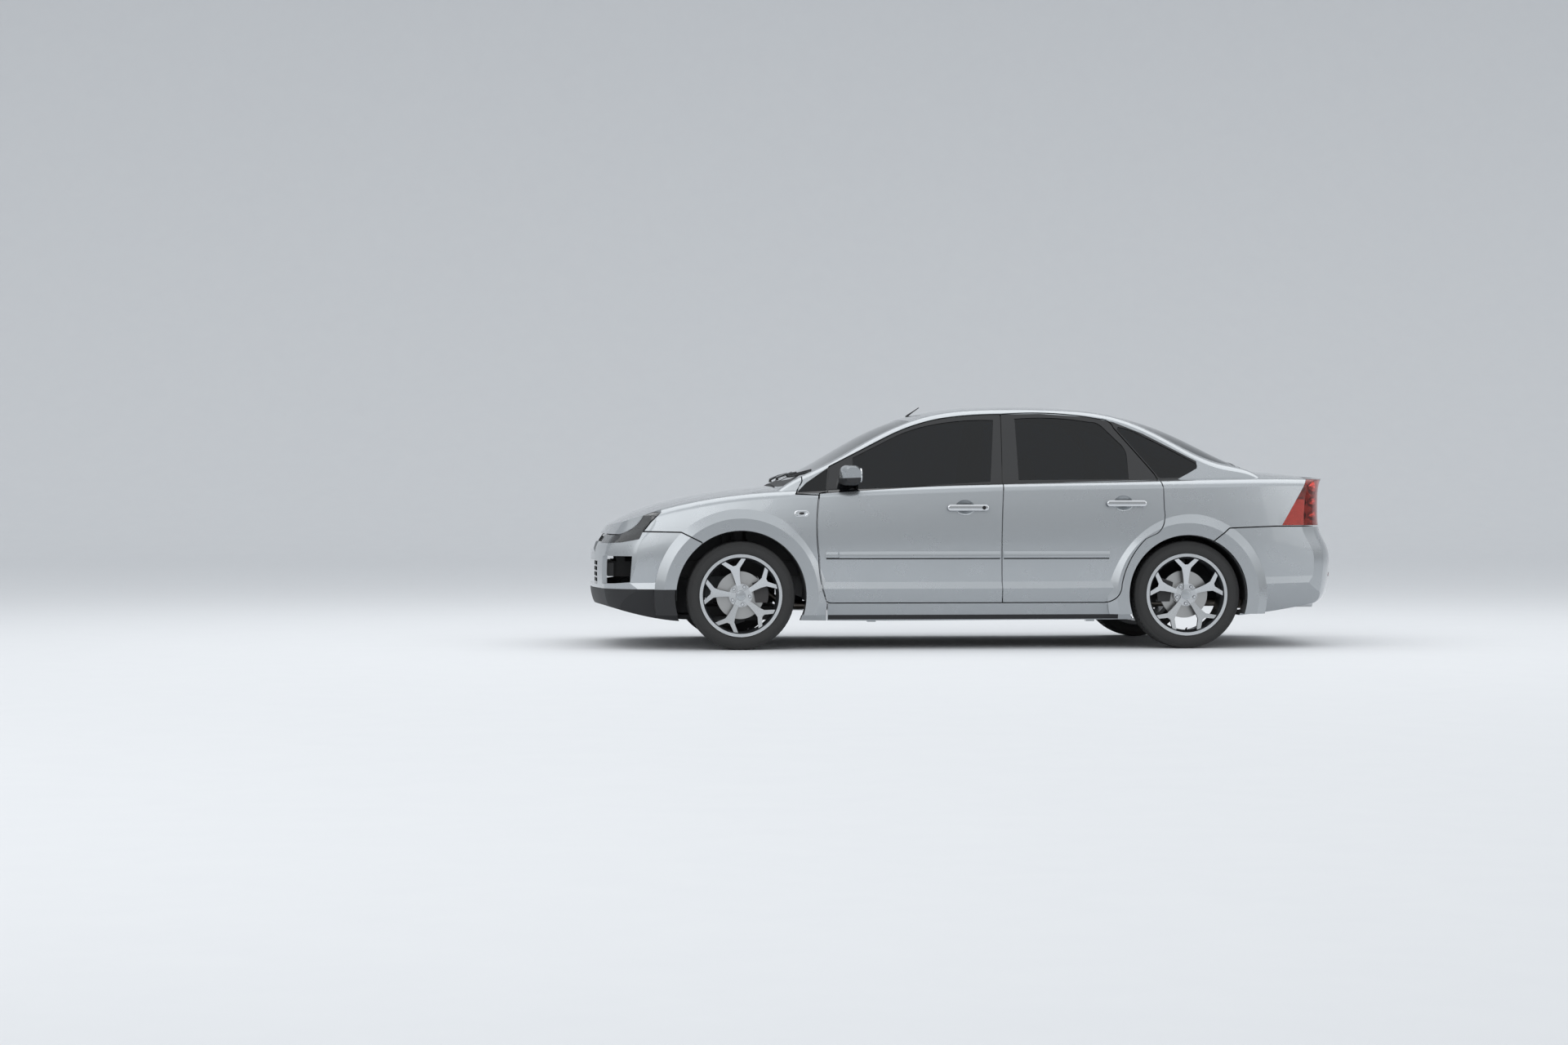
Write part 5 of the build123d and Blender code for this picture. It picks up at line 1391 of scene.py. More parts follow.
@dataclass
class LampCluster:
    """A lamp whose CAD solid becomes a thin lens over a chamber with reflector bowls.

    Attributes:
        node: Its CAD node.
        lens: Finish of the lens.
        chamber: Finish of the chamber behind it.
        ahead: -1 if it shines to the front, 1 to the rear.
        units: Its bowls, with y as a positive distance, the same on both sides.
        lens_wall: Thickness of the lens.
        chamber_wall: Thickness of the chamber's wall.
        lens_outboard: Least share outboard of the normal of a face that belongs to the lens.
        lens_ahead: Least share of that normal to where the lamp shines.
        mouth_gap: Room between the lens and a bowl's mouth.
        mouth_rays: Number of rays that measure that room round a bowl.
        bulb_share: Radius of a bulb as a share of its bowl's.
    """

    frame: dict
    node: str
    lens: Finish
    chamber: Finish
    ahead: int
    units: Sequence[LampUnit]
    lens_wall: float = 0.0025
    chamber_wall: float = 0.002
    lens_outboard: float = 0.035
    lens_ahead: float = -0.2
    mouth_gap: float = 0.008
    mouth_rays: int = 16
    bulb_share: float = 0.5

    def split(self) -> tuple[list[Vector], Faces, Faces]:
        """Points, outer faces and the other faces of the CAD solid, welded."""
        form = bmesh.new()
        form.from_mesh(self.frame["nodes"][self.node].data)
        bmesh.ops.remove_doubles(form, verts=form.verts, dist=1e-5)
        bmesh.ops.recalc_face_normals(form, faces=form.faces)
        form.normal_update()
        points = [v.co.copy() for v in form.verts]
        outer: Faces = []
        rest: Faces = []
        for face in form.faces:
            side = 1.0 if face.calc_center_median().y > 0 else -1.0
            outboard = side * face.normal.y > self.lens_outboard
            is_lens = outboard and self.ahead * face.normal.x > self.lens_ahead
            (outer if is_lens else rest).append(tuple(v.index for v in face.verts))
        form.free()
        return points, outer, rest

    def shell(
        self, name: str, points: list[Vector], faces: Faces, finish: Finish, wall: float,
        smooth_angle: float,
    ) -> bpy.types.Object:
        """Build a thin shell from some faces of the CAD solid.

        Args:
            name: The shell's name after the node's.
            points: The solid's points.
            faces: The faces that the shell is made of.
            finish: Its finish.
            wall: Its thickness, inwards from the faces.
            smooth_angle: Edges sharper than this stay crisp, in degrees.

        Returns:
            The shell.
        """
        piece = new_piece(f"{self.node}_{name}", points, faces, finish, "body", smooth_angle)
        form = bmesh.new()
        form.from_mesh(piece.data)
        loose = [v for v in form.verts if not v.link_faces]
        bmesh.ops.delete(form, geom=loose, context="VERTS")
        form.to_mesh(piece.data)
        form.free()
        thickness = piece.modifiers.new("thickness", "SOLIDIFY")
        thickness.thickness = wall
        thickness.offset = -1.0
        return piece

    def mouth(self, skin: Skin, unit: LampUnit, sign: int) -> float | None:
        """Place along the car at which a bowl's mouth clears the lens.

        Args:
            skin: The CAD solid's surface.
            unit: The bowl.
            sign: -1 for the left side.

        Returns:
            Its distance to where the lamp shines, or None where the lens doesn't cover it.
        """
        reach: list[float] = []
        for step in range(self.mouth_rays):
            turn = 2 * math.pi * step / self.mouth_rays
            y = sign * unit.y + unit.radius * 1.04 * math.cos(turn)
            z = unit.z + unit.radius * 1.04 * math.sin(turn)
            met = skin.nose(y, z) if self.ahead < 0 else skin.tail(y, z)
            if met is not None:
                reach.append(met[0].x * self.ahead)
        if len(reach) < self.mouth_rays * 3 / 4:
            return None
        return min(reach) - self.mouth_gap

    def bowl(self, unit: LampUnit, centre: Vector, label: str) -> None:
        """Build one reflector bowl with its bulb.

        Args:
            unit: The bowl's sizes.
            centre: Middle of its mouth.
            label: Its number and side, for the pieces' names.
        """
        way = Vector((float(self.ahead), 0.0, 0.0))
        r, d = unit.radius, unit.depth
        section = [(0.0, r), (0.0, r * 0.95)]
        section += [(-d * (1 - (k / 8) ** 2), r * 0.94 * k / 8) for k in range(8, 0, -1)]
        section += [(-d, 0.004), (-d - 0.003, 0.004), (-d - 0.003, r * 0.5)]
        section.append((-d * 0.4, r * 0.9))
        vertices, faces = revolved(section, centre, way, 40, closed=True)
        new_piece(f"{self.node}_bowl_{label}", vertices, faces, BRIGHT_METAL, "body", 40.0)
        bulb = self.bulb_share * r
        dome = [(-d, bulb)]
        for step in range(7):
            turn = math.pi / 2 * step / 6
            dome.append((-d * 0.62 + bulb * math.sin(turn), bulb * math.cos(turn) + 0.0001))
        vertices, faces = revolved(dome, centre, way, 32)
        new_piece(f"{self.node}_bulb_{label}", vertices, faces, unit.glow, "body", 40.0)

    def build(self) -> None:
        """Build lens, chamber and bowls in place of the CAD node."""
        points, outer, rest = self.split()
        lens = self.shell("lens", points, outer, self.lens, self.lens_wall, 40.0)
        self.shell("chamber", points, rest, self.chamber, self.chamber_wall, 30.0)
        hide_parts(self.node)
        skin = Skin(self.frame, [self.node])
        for side, sign in SIDES:
            for number, unit in enumerate(self.units, 1):
                mouth = self.mouth(skin, unit, sign)
                if mouth is None:
                    LOG.warning("%s bowl %d has no room", self.node, number)
                    continue
                centre = Vector((self.ahead * mouth, sign * unit.y, unit.z))
                self.bowl(unit, centre, f"{number}_{side}")


@dataclass
class Cushion:
    """A sewn cushion pressed out by its foam.

    Attributes:
        name: Its name.
        size: Length along the car, width and thickness, in metres.
        centre: Its middle.
        tilt: Degrees that it leans back.
        bolster: Height of its raised side edges.
        channels: Number of seams across it.
        seam_reach: Part of its length that the seams share, from 0 to 1.
        rows: Steps along it.
        columns: Steps across it.
        fullness: Power that rounds its edges; the less, the fuller.
        waist: Share by which its sides are drawn in at the corners.
        bolster_at: Middle of a bolster, from 0 in the cushion's middle to 1 at its side.
        bolster_width: Width of a bolster in that measure.
        crown: Height of the cushion's domed middle.
        crown_half: Half of the dome's width.
        seam_depth: Depth of the seams across.
        seam_width: Their width.
        side_seam_depth: Depth of the seams along the bolsters.
        side_seam_at: Their place.
        side_seam_width: Their width.
    """

    name: str
    size: Point3
    centre: Point3
    tilt: float
    bolster: float = 0.025
    channels: int = 3
    seam_reach: float = 0.75
    rows: int = 36
    columns: int = 32
    fullness: float = 0.34
    waist: float = 0.02
    bolster_at: float = 0.80
    bolster_width: float = 0.17
    crown: float = 0.012
    crown_half: float = 0.7
    seam_depth: float = 0.009
    seam_width: float = 0.045
    side_seam_depth: float = 0.010
    side_seam_at: float = 0.64
    side_seam_width: float = 0.035

    def dome(self, u: float, v: float) -> float:
        """Height of the cushion's domed middle, at u along and v across it, each -1 to 1."""
        if abs(v) >= self.crown_half:
            return 0.0
        return self.crown * (1 - u * u) * (1 - (v / self.crown_half) ** 2)

    def relief(self, u: float, v: float) -> float:
        """Height of the bolsters less the depth of the seams.

        Args:
            u: Place along the cushion, -1 to 1.
            v: Place across it, -1 to 1.

        Returns:
            The height in metres, before it fades out at the edges.
        """
        out = abs(v)
        rise = self.bolster * math.exp(-(((out - self.bolster_at) / self.bolster_width) ** 2))
        seam = 0.0
        if out < self.side_seam_at - self.side_seam_width / 2:
            for number in range(self.channels):
                at = self.seam_reach * (2 * (number + 0.5) / self.channels - 1)
                seam += self.seam_depth * math.exp(-(((u - at) / self.seam_width) ** 2))
        beside = (out - self.side_seam_at) / self.side_seam_width
        return rise - seam - self.side_seam_depth * math.exp(-(beside**2))

    def shape(self) -> tuple[list[Vector], Faces]:
        """Rounded block with raised edges and sewn channels, lying flat at the origin."""
        length, width, height = self.size
        vertices: list[Vector] = []
        for top in (True, False):
            for i in range(self.rows + 1):
                for j in range(self.columns + 1):
                    u, v = 2 * i / self.rows - 1, 2 * j / self.columns - 1
                    edge = ((1 - abs(u) ** 6) * (1 - abs(v) ** 6)) ** self.fullness
                    x = u * length / 2 * (1 - self.waist * v * v)
                    y = v * width / 2 * (1 - self.waist * u * u)
                    z = height / 2 * edge
                    if top:
                        z += self.relief(u, v) * edge + self.dome(u, v)
                    vertices.append(Vector((x, y, z if top else -z)))
        count = (self.rows + 1) * (self.columns + 1)
        faces: Faces = []
        for i in range(self.rows):
            for j in range(self.columns):
                a = i * (self.columns + 1) + j
                quad = (a, a + 1, a + self.columns + 2, a + self.columns + 1)
                faces.append(quad)
                faces.append(tuple(count + corner for corner in reversed(quad)))
        return vertices, faces

    def build(self, *replaced: str) -> bpy.types.Object:
        """Build the cushion.

        Args:
            replaced: CAD nodes that it stands for.

        Returns:
            The cushion.
        """
        vertices, faces = self.shape()
        turn = Matrix.Rotation(math.radians(-self.tilt), 3, "Y")
        placed = [turn @ v + Vector(self.centre) for v in vertices]
        piece = new_piece(self.name, placed, faces, SEAT_CLOTH, "body", 60.0)
        if replaced:
            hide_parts(*replaced)
        return piece


@dataclass
class Camera:
    """The photograph's camera, worked out from the wheels and the horizon.

    Attributes:
        place: Where it stands, in metres.
        yaw: Degrees that it looks towards +X from straight at the car's side.
        lens: Focal length in millimetres.
        sensor: Width of the sensor in millimetres.
        photo_width: Width of the photograph in pixels.
        horizon_shift: Pixels by which the picture is shifted to put the horizon in its place.
        reach: Distance up to which it sees, in metres.
    """

    place: Point3 = (-2.508, -18.478, 0.913)
    yaw: float = 4.5
    lens: float = 69.375
    sensor: float = 36.0
    photo_width: int = 1920
    horizon_shift: int = -35
    reach: float = 200.0

    def build(self) -> bpy.types.Object:
        """Make it the scene's camera."""
        data = bpy.data.cameras.new("photograph")
        data.sensor_width = self.sensor
        data.lens = self.lens
        data.shift_y = self.horizon_shift / self.photo_width
        data.clip_end = self.reach
        camera = bpy.data.objects.new("photograph", data)
        camera.location = self.place
        camera.rotation_euler = (math.radians(90), 0.0, math.radians(-self.yaw))
        bpy.context.scene.collection.objects.link(camera)
        bpy.context.scene.camera = camera
        return camera


@dataclass(frozen=True)
class Softbox:
    """A soft rectangular lamp.

    Attributes:
        name: Its name.
        place: Its middle, in metres.
        size: Its width and height.
        power: Watts.
        aim: Point that it faces.
    """

    name: str
    place: Point3
    size: Point2
    power: float
    aim: Point3

    def build(self) -> None:
        """Hang the lamp in the scene."""
        data = bpy.data.lights.new(self.name, "AREA")
        data.shape = "RECTANGLE"
        data.size, data.size_y = self.size
        data.energy = self.power
        lamp = bpy.data.objects.new(self.name, data)
        lamp.location = self.place
        turn = (Vector(self.aim) - Vector(self.place)).to_track_quat("-Z", "Y")
        lamp.rotation_euler = turn.to_euler()
        bpy.context.scene.collection.objects.link(lamp)


@dataclass
class Studio:
    """Pale floor that sweeps up behind the car, soft lamps and a pale world.

    Attributes:
        half_width: Half of the sweep's width.
        near: Its front edge.
        far: Where it starts to rise.
        sweep: Radius of the curve.
        steps: Steps round the curve.
        height: Height of the wall.
        sky: The world's colour, sRGB hex.
        low_sky: Strength of the world from the horizon down.
        high_sky: Strength of the world from high_from up.
        high_from: Height of a direction, 0 to 1, from which the world is brightest.
        on_object: Share of that strength that lights the car.
        in_view: Share of it that is seen, also in metal and through glass.
        softboxes: The lamps.
    """

    half_width: float = 60.0
    near: float = -45.0
    far: float = 22.0
    sweep: float = 10.0
    steps: int = 16
    height: float = 40.0
    sky: str = "#F3F6F9"
    low_sky: float = 0.42
    high_sky: float = 1.05
    high_from: float = 0.45
    on_object: float = 0.84
    in_view: float = 0.95
    softboxes: tuple[Softbox, ...] = (
        Softbox("overhead_softbox", (0.0, 1.0, 7.0), (13.0, 7.6), 260.0, (0.0, 0.0, 0.6)),
        Softbox("key_softbox", (-7.5, -10.0, 6.5), (15.0, 8.6), 360.0, (-0.3, 0.0, 0.7)),
        Softbox("fill_softbox", (9.0, -8.0, 3.5), (9.0, 6.0), 130.0, (0.3, 0.0, 0.7)),
    )

    def floor(self) -> None:
        """Build the floor and wall in one smooth sheet."""
        line: list[Point2] = [(self.near, 0.0), (self.far, 0.0)]
        for step in range(1, self.steps + 1):
            turn = math.pi / 2 * step / self.steps
            line.append((
                self.far + self.sweep * math.sin(turn), self.sweep * (1 - math.cos(turn)),
            ))
        line.append((self.far + self.sweep, self.height))
        vertices = [(x, y, z) for y, z in line for x in (-self.half_width, self.half_width)]
        faces = [(2 * i, 2 * i + 1, 2 * i + 3, 2 * i + 2) for i in range(len(line) - 1)]
        mesh = bpy.data.meshes.new("studio_floor")
        mesh.from_pydata(vertices, [], faces)
        mesh.shade_smooth()
        floor = bpy.data.objects.new("studio_floor", mesh)
        bpy.context.scene.collection.objects.link(floor)
        dress(floor, STUDIO_FLOOR.material())

    def world(self) -> None:
        """Light everything softly, brighter from above, and show pale in metal and glass."""
        world = bpy.data.worlds.new("pale_world")
        bpy.context.scene.world = world
        world.use_nodes = True
        tree = world.node_tree
        tree.nodes.clear()
        direction = add_node(tree, "ShaderNodeTexCoord").outputs["Generated"]
        height = add_node(tree, "ShaderNodeSeparateXYZ", {}, {0: direction}).outputs["Z"]
        ramp = add_node(
            tree, "ShaderNodeMapRange",
            {"From Min": 0.0, "From Max": self.high_from,
             "To Min": self.low_sky, "To Max": self.high_sky},
            {"Value": height},
        )
        path = add_node(tree, "ShaderNodeLightPath")
        seen = path.outputs["Is Camera Ray"]
        for kind in ("Is Transmission Ray", "Is Glossy Ray"):
            seen = add_node(
                tree, "ShaderNodeMath", {"operation": "MAXIMUM"}, {0: seen, 1: path.outputs[kind]}
            ).outputs[0]
        strength = add_node(
            tree, "ShaderNodeMapRange", {"To Min": self.on_object, "To Max": self.in_view},
            {"Value": seen},
        )
        power = add_node(
            tree, "ShaderNodeMath", {"operation": "MULTIPLY"},
            {0: strength.outputs[0], 1: ramp.outputs[0]},
        )
        shader = add_node(
            tree, "ShaderNodeBackground", {"Color": linear(self.sky)},
            {"Strength": power.outputs[0]},
        )
        add_node(tree, "ShaderNodeOutputWorld", {}, {"Surface": shader.outputs[0]})

    def build(self) -> None:
        """Build floor, lamps and world, with the plain view transform."""
        bpy.context.scene.view_settings.view_transform = "Standard"
        self.floor()
        for softbox in self.softboxes:
            softbox.build()
        self.world()


@dataclass(frozen=True)
class StripRun:
    """One straight strip along a door.

    Attributes:
        name: Its name, without the side.
        door: "front" or "rear".
        start: Its front end along the car.
        end: Its rear end.
        z: Height of its middle.
        width: Its own height on the door.
        proud: How far it stands out.
        finish: Its finish.
    """

    name: str
    door: str
    start: float
    end: float
    z: float
    width: float
    proud: float
    finish: Finish


@dataclass
class RubStrips:
    """Body-coloured strips along the doors, with thin black strips of painted shadow under them.

    Attributes:
        runs: The strips, and the black strips of painted shadow under them, of one side.
    """

    runs: tuple[StripRun, ...] = (
        StripRun("rub_strip_front", "front", -0.800, 0.149, 0.557, 0.040, 0.013, SILVER),
        StripRun("rub_strip_end", "front", -0.879, -0.808, 0.557, 0.036, 0.011, SILVER),
        StripRun("rub_strip_rear", "rear", 0.168, 0.798, 0.557, 0.040, 0.013, SILVER),
        # Painted shadow: these thin black strips stand for the shade under the rub strips.
        StripRun("rub_seal_front", "front", -0.876, 0.147, 0.5345, 0.008, 0.005, GRAINED_BLACK),
        StripRun("rub_seal_rear", "rear", 0.170, 0.796, 0.5345, 0.008, 0.005, GRAINED_BLACK),
    )

    def build(self, frame: dict) -> None:
        """Lay them on the doors of both sides.
        """
        for side, sign in SIDES:
            skin = Skin(frame, [f"door_front_{side}", f"door_rear_{side}"])
            for run in self.runs:
                Moulding(
                    f"{run.name}_{side}", ((run.start, run.z), (run.end, run.z)), run.width,
                    run.proud, run.finish, f"door_{run.door}_{side}", sign,
                ).build(skin)


@dataclass
class SideLamps:
    """Signal lamps on the front wings and reflectors in the rear bumper.

    Attributes:
        repeater: Middle of a signal lamp (x, z).
        rim: Length and height of its bright rim.
        lens: Length and height of its lens.
        middle: Length and height of its dark middle.
        reflector: Middle of the right reflector (y, z).
        strip: Length and height of a reflector.
    """

    repeater: Point2 = (-1.019, 0.798)
    rim: Point2 = (0.086, 0.037)
    lens: Point2 = (0.074, 0.027)
    middle: Point2 = (0.030, 0.014)
    reflector: Point2 = (0.52, 0.43)
    strip: Point2 = (0.20, 0.026)

    def build(self, frame: dict) -> None:
        """Lay them on both sides.
        """
        wings = Skin(frame, ["front_wings"])
        tail = Skin(frame, ["rear_bumper"])
        for side, sign in SIDES:
            for name, size, proud, dome, finish in (
                ("rim", self.rim, 0.003, 0.0, BRIGHT_METAL),
                ("lens", self.lens, 0.005, 0.002, CLEAR_LENS),
                ("middle", self.middle, 0.0075, 0.001, GLOSS_BLACK),
            ):
                outline = stadium(*self.repeater, *size)
                Pad(f"repeater_{name}_{side}", outline, proud, dome, finish, "body", sign).build(
                    wings
                )
            outline = stadium(sign * self.reflector[0], self.reflector[1], *self.strip)
            Pad(f"bumper_reflector_{side}", outline, 0.004, 0.001, RED_LENS, "body", 0).build(tail)


# Half sections of a fog lamp, as (distance ahead of the recess's floor, radius).
FOG_BEZEL_SECTION = (
    (-0.004, 0.0460), (0.014, 0.0460), (0.018, 0.0445), (0.018, 0.0400), (0.010, 0.0380),
    (-0.004, 0.0380),
)
FOG_LENS_SECTION = (
    (0.002, 0.0378), (0.009, 0.0378), (0.012, 0.0350), (0.0165, 0.0240), (0.0185, 0.0110),
    (0.0190, 0.0001),
)


@dataclass
class Nose:
    """Bright lower edge of the grille and fog lamps in the bumper's recesses.

    Attributes:
        edge_half: Half of the edge's length across the car.
        edge_z: Its height.
        edge_radius: Its radius.
        edge_steps: Steps along it.
        fog_y: Distance of a fog lamp from the car's middle.
        fog_z: Its height.
    """

    edge_half: float = 0.300
    edge_z: float = 0.5715
    edge_radius: float = 0.0036
    edge_steps: int = 24
    fog_y: float = 0.640
    fog_z: float = 0.470

    def grille_edge(self, bumper: Skin) -> None:
        """Lay the bright edge along the bumper, if the bumper is met nearly everywhere."""
        edge: list[Vector] = []
        for step in range(self.edge_steps + 1):
            met = bumper.nose(self.edge_half * (2 * step / self.edge_steps - 1), self.edge_z)
            if met is not None:
                edge.append(met[0] + met[1] * MM)
        if len(edge) > self.edge_steps * 0.85:
            vertices, faces = tube(edge, [self.edge_radius] * len(edge), 10)
            new_piece("grille_edge", vertices, faces, BRIGHT_METAL, "body", 60.0)

    def build(self, frame: dict) -> None:
        """Add the edge and the fog lamps.
        """
        self.grille_edge(Skin(frame, ["front_bumper"]))
        front = Skin(frame, ["front_grille", "front_bumper", "front_valance"])
        ahead = Vector((-1.0, 0.0, 0.0))
        for side, sign in SIDES:
            met = front.nose(sign * self.fog_y, self.fog_z)
            if met is None:
                LOG.warning("no place for fog lamp %s", side)
                continue
            vertices, faces = revolved(FOG_BEZEL_SECTION, met[0], ahead, 40, closed=True)
            new_piece(f"fog_bezel_{side}", vertices, faces, GLOSS_BLACK, "body", 35.0)
            vertices, faces = revolved(FOG_LENS_SECTION, met[0], ahead, 40)
            new_piece(f"fog_lens_{side}", vertices, faces, CLEAR_LENS, "body", 50.0)


@dataclass
class Seats:
    """Cushions of the front seats and the rear bench, with what carries the front ones.

    Attributes:
        y: Distance of a front seat's middle from the car's.
        post_foot: Foot of a head restraint's post (x, z).
        post_top: Its top.
        post_apart: Distance of a post from the seat's middle.
        post_radius: Its radius.
        runner_low: Lower front corner of the runners' cover (x, z).
        runner_high: Its upper rear corner.
        runner_half: Half of its width.
        runner_edge: Radius of its edges.
    """

    y: float = 0.37
    post_foot: Point2 = (0.335, 0.90)
    post_top: Point2 = (0.372, 1.02)
    post_apart: float = 0.06
    post_radius: float = 0.006
    runner_low: Point2 = (-0.22, 0.2185)
    runner_high: Point2 = (0.20, 0.345)
    runner_half: float = 0.19
    runner_edge: float = 0.02

    def front(self, side: str, sign: int) -> None:
        """Build one front seat.

        Args:
            side: "left" or "right".
            sign: -1 for the left side.
        """
        y = sign * self.y
        replaced = ("front_seats",) if side == "left" else ()
        base = Cushion(f"seat_base_{side}", (0.52, 0.50, 0.15), (-0.03, y, 0.405), 4.0)
        base.build(*replaced)
        Cushion(
            f"seat_back_{side}", (0.56, 0.48, 0.14), (0.270, y, 0.700), -76.0, channels=4
        ).build()
        Cushion(
            f"seat_headrest_{side}", (0.17, 0.25, 0.095), (0.375, y, 1.045), -80.0, bolster=0.0,
            channels=0,
        ).build()
        for away in (-1, 1):
            across = y + away * self.post_apart
            path = [
                Vector((x, across, z)) for x, z in (self.post_foot, self.post_top)
            ]
            vertices, faces = tube(path, [self.post_radius] * 2)
            where = "outer" if away == sign else "inner"
            new_piece(
                f"headrest_post_{side}_{where}", vertices, faces, BRIGHT_METAL, "body"
            )
        (x0, z0), (x1, z1) = self.runner_low, self.runner_high
        vertices, faces = box_mesh((x0, y - self.runner_half, z0), (x1, y + self.runner_half, z1))
        cover = new_piece(f"seat_runner_{side}", vertices, faces, DOOR_TRIM, "body")
        rounded(cover, self.runner_edge)

    def build(self) -> None:
        """Build both front seats and the rear bench."""
        for side, sign in SIDES:
            self.front(side, sign)
        Cushion(
            "rear_bench_base", (0.46, 1.02, 0.14), (0.860, 0.0, 0.425), 3.0, bolster=0.012,
            channels=2,
        ).build("rear_seat")
        Cushion(
            "rear_bench_back", (0.52, 1.14, 0.13), (1.085, 0.0, 0.715), -68.0, bolster=0.012,
            channels=3,
        ).build()


# Half section of the gear lever's knob, as (distance from its foot, radius).
KNOB_SECTION = ((0.000, 0.008), (0.006, 0.020), (0.022, 0.025), (0.040, 0.021), (0.048, 0.0001))


@dataclass
class Cockpit:
    """Hood over the dials, air vents, gear lever and parking brake.

    Attributes:
        driver_y: Middle of the dials across the car.
        hood_rows: Places along the car of the hood's rows, each with its rise.
        hood_half: Half of the hood's width.
        hood_z: Height of the hood's lower edge.
        hood_foot: Height of its upright sides.
        hood_arch: Height of its arch.
        hood_steps: Steps over the arch.
        vent_ys: Middles of the vents across the car.
        vent_low: Lower front corner of a vent (x, z).
        vent_high: Its upper rear corner.
        vent_half: Half of its width.
        vent_edge: Radius of its edges.
        lever: Points (x, z) of the gear lever, from its foot.
        lever_radii: Its radius at each.
        knob_foot: Foot of its knob (x, z).
        knob_lean: Direction of its knob (x, z).
        brake: Points (x, z) of the parking brake, from its foot.
        brake_y: Its distance to the right of the car's middle.
        brake_radii: Its radius at each point.
    """

    driver_y: float = -0.37
    hood_rows: tuple[Point2, ...] = (
        (-0.80, 0.0), (-0.74, 0.026), (-0.655, 0.030), (-0.640, 0.022)
    )
    hood_half: float = 0.17
    hood_z: float = 0.870
    hood_foot: float = 0.030
    hood_arch: float = 0.040
    hood_steps: int = 12
    vent_ys: tuple[float, ...] = (-0.62, -0.085, 0.085, 0.62)
    vent_low: Point2 = (-0.632, 0.800)
    vent_high: Point2 = (-0.592, 0.865)
    vent_half: float = 0.055
    vent_edge: float = 0.008
    lever: tuple[Point2, ...] = ((-0.30, 0.44), (-0.305, 0.50), (-0.32, 0.56))
    lever_radii: tuple[float, ...] = (0.010, 0.007, 0.006)
    knob_foot: Point2 = (-0.318, 0.555)
    knob_lean: Point2 = (-0.25, 1.0)
    brake: tuple[Point2, ...] = ((0.10, 0.44), (-0.02, 0.475), (-0.14, 0.50))
    brake_y: float = 0.045
    brake_radii: tuple[float, ...] = (0.016, 0.015, 0.017)

    def dial_hood(self) -> None:
        """Build the arched hood over the dials."""
        hood: list[Vector] = []
        for x, rise in self.hood_rows:
            for step in range(self.hood_steps + 1):
                turn = math.pi * step / self.hood_steps
                z = self.hood_z + self.hood_foot + rise + self.hood_arch * math.sin(turn)
                hood.append(Vector((x, self.driver_y - self.hood_half * math.cos(turn), z)))
            for away in (1, -1):
                hood.append(Vector((x, self.driver_y + away * self.hood_half, self.hood_z)))
        faces = ring_faces(len(self.hood_rows), self.hood_steps + 3)
        new_piece("dial_hood", hood, faces, DASH_FOIL, "body", 40.0)

    def vents(self) -> None:
        """Build the air vents in the dashboard's face."""
        (x0, z0), (x1, z1) = self.vent_low, self.vent_high
        for number, y in enumerate(self.vent_ys, 1):
            vertices, faces = box_mesh((x0, y - self.vent_half, z0), (x1, y + self.vent_half, z1))
            vent = new_piece(f"air_vent_{number}", vertices, faces, GLOSS_BLACK, "body")
            rounded(vent, self.vent_edge)

    def levers(self) -> None:
        """Build the gear lever with its knob and the parking brake."""
        vertices, faces = tube([Vector((x, 0.0, z)) for x, z in self.lever], self.lever_radii)
        new_piece("gear_lever", vertices, faces, BRIGHT_METAL, "body")
        foot = Vector((self.knob_foot[0], 0.0, self.knob_foot[1]))
        lean = Vector((self.knob_lean[0], 0.0, self.knob_lean[1]))
        vertices, faces = revolved(KNOB_SECTION, foot, lean, 32)
        new_piece("gear_knob", vertices, faces, DASH_FOIL, "body", 50.0)
        path = [Vector((x, self.brake_y, z)) for x, z in self.brake]
        vertices, faces = tube(path, self.brake_radii)
        new_piece("parking_brake", vertices, faces, DASH_FOIL, "body", 50.0)

    def build(self) -> None:
        """Build every piece of it."""
        self.dial_hood()
        self.vents()
        self.levers()


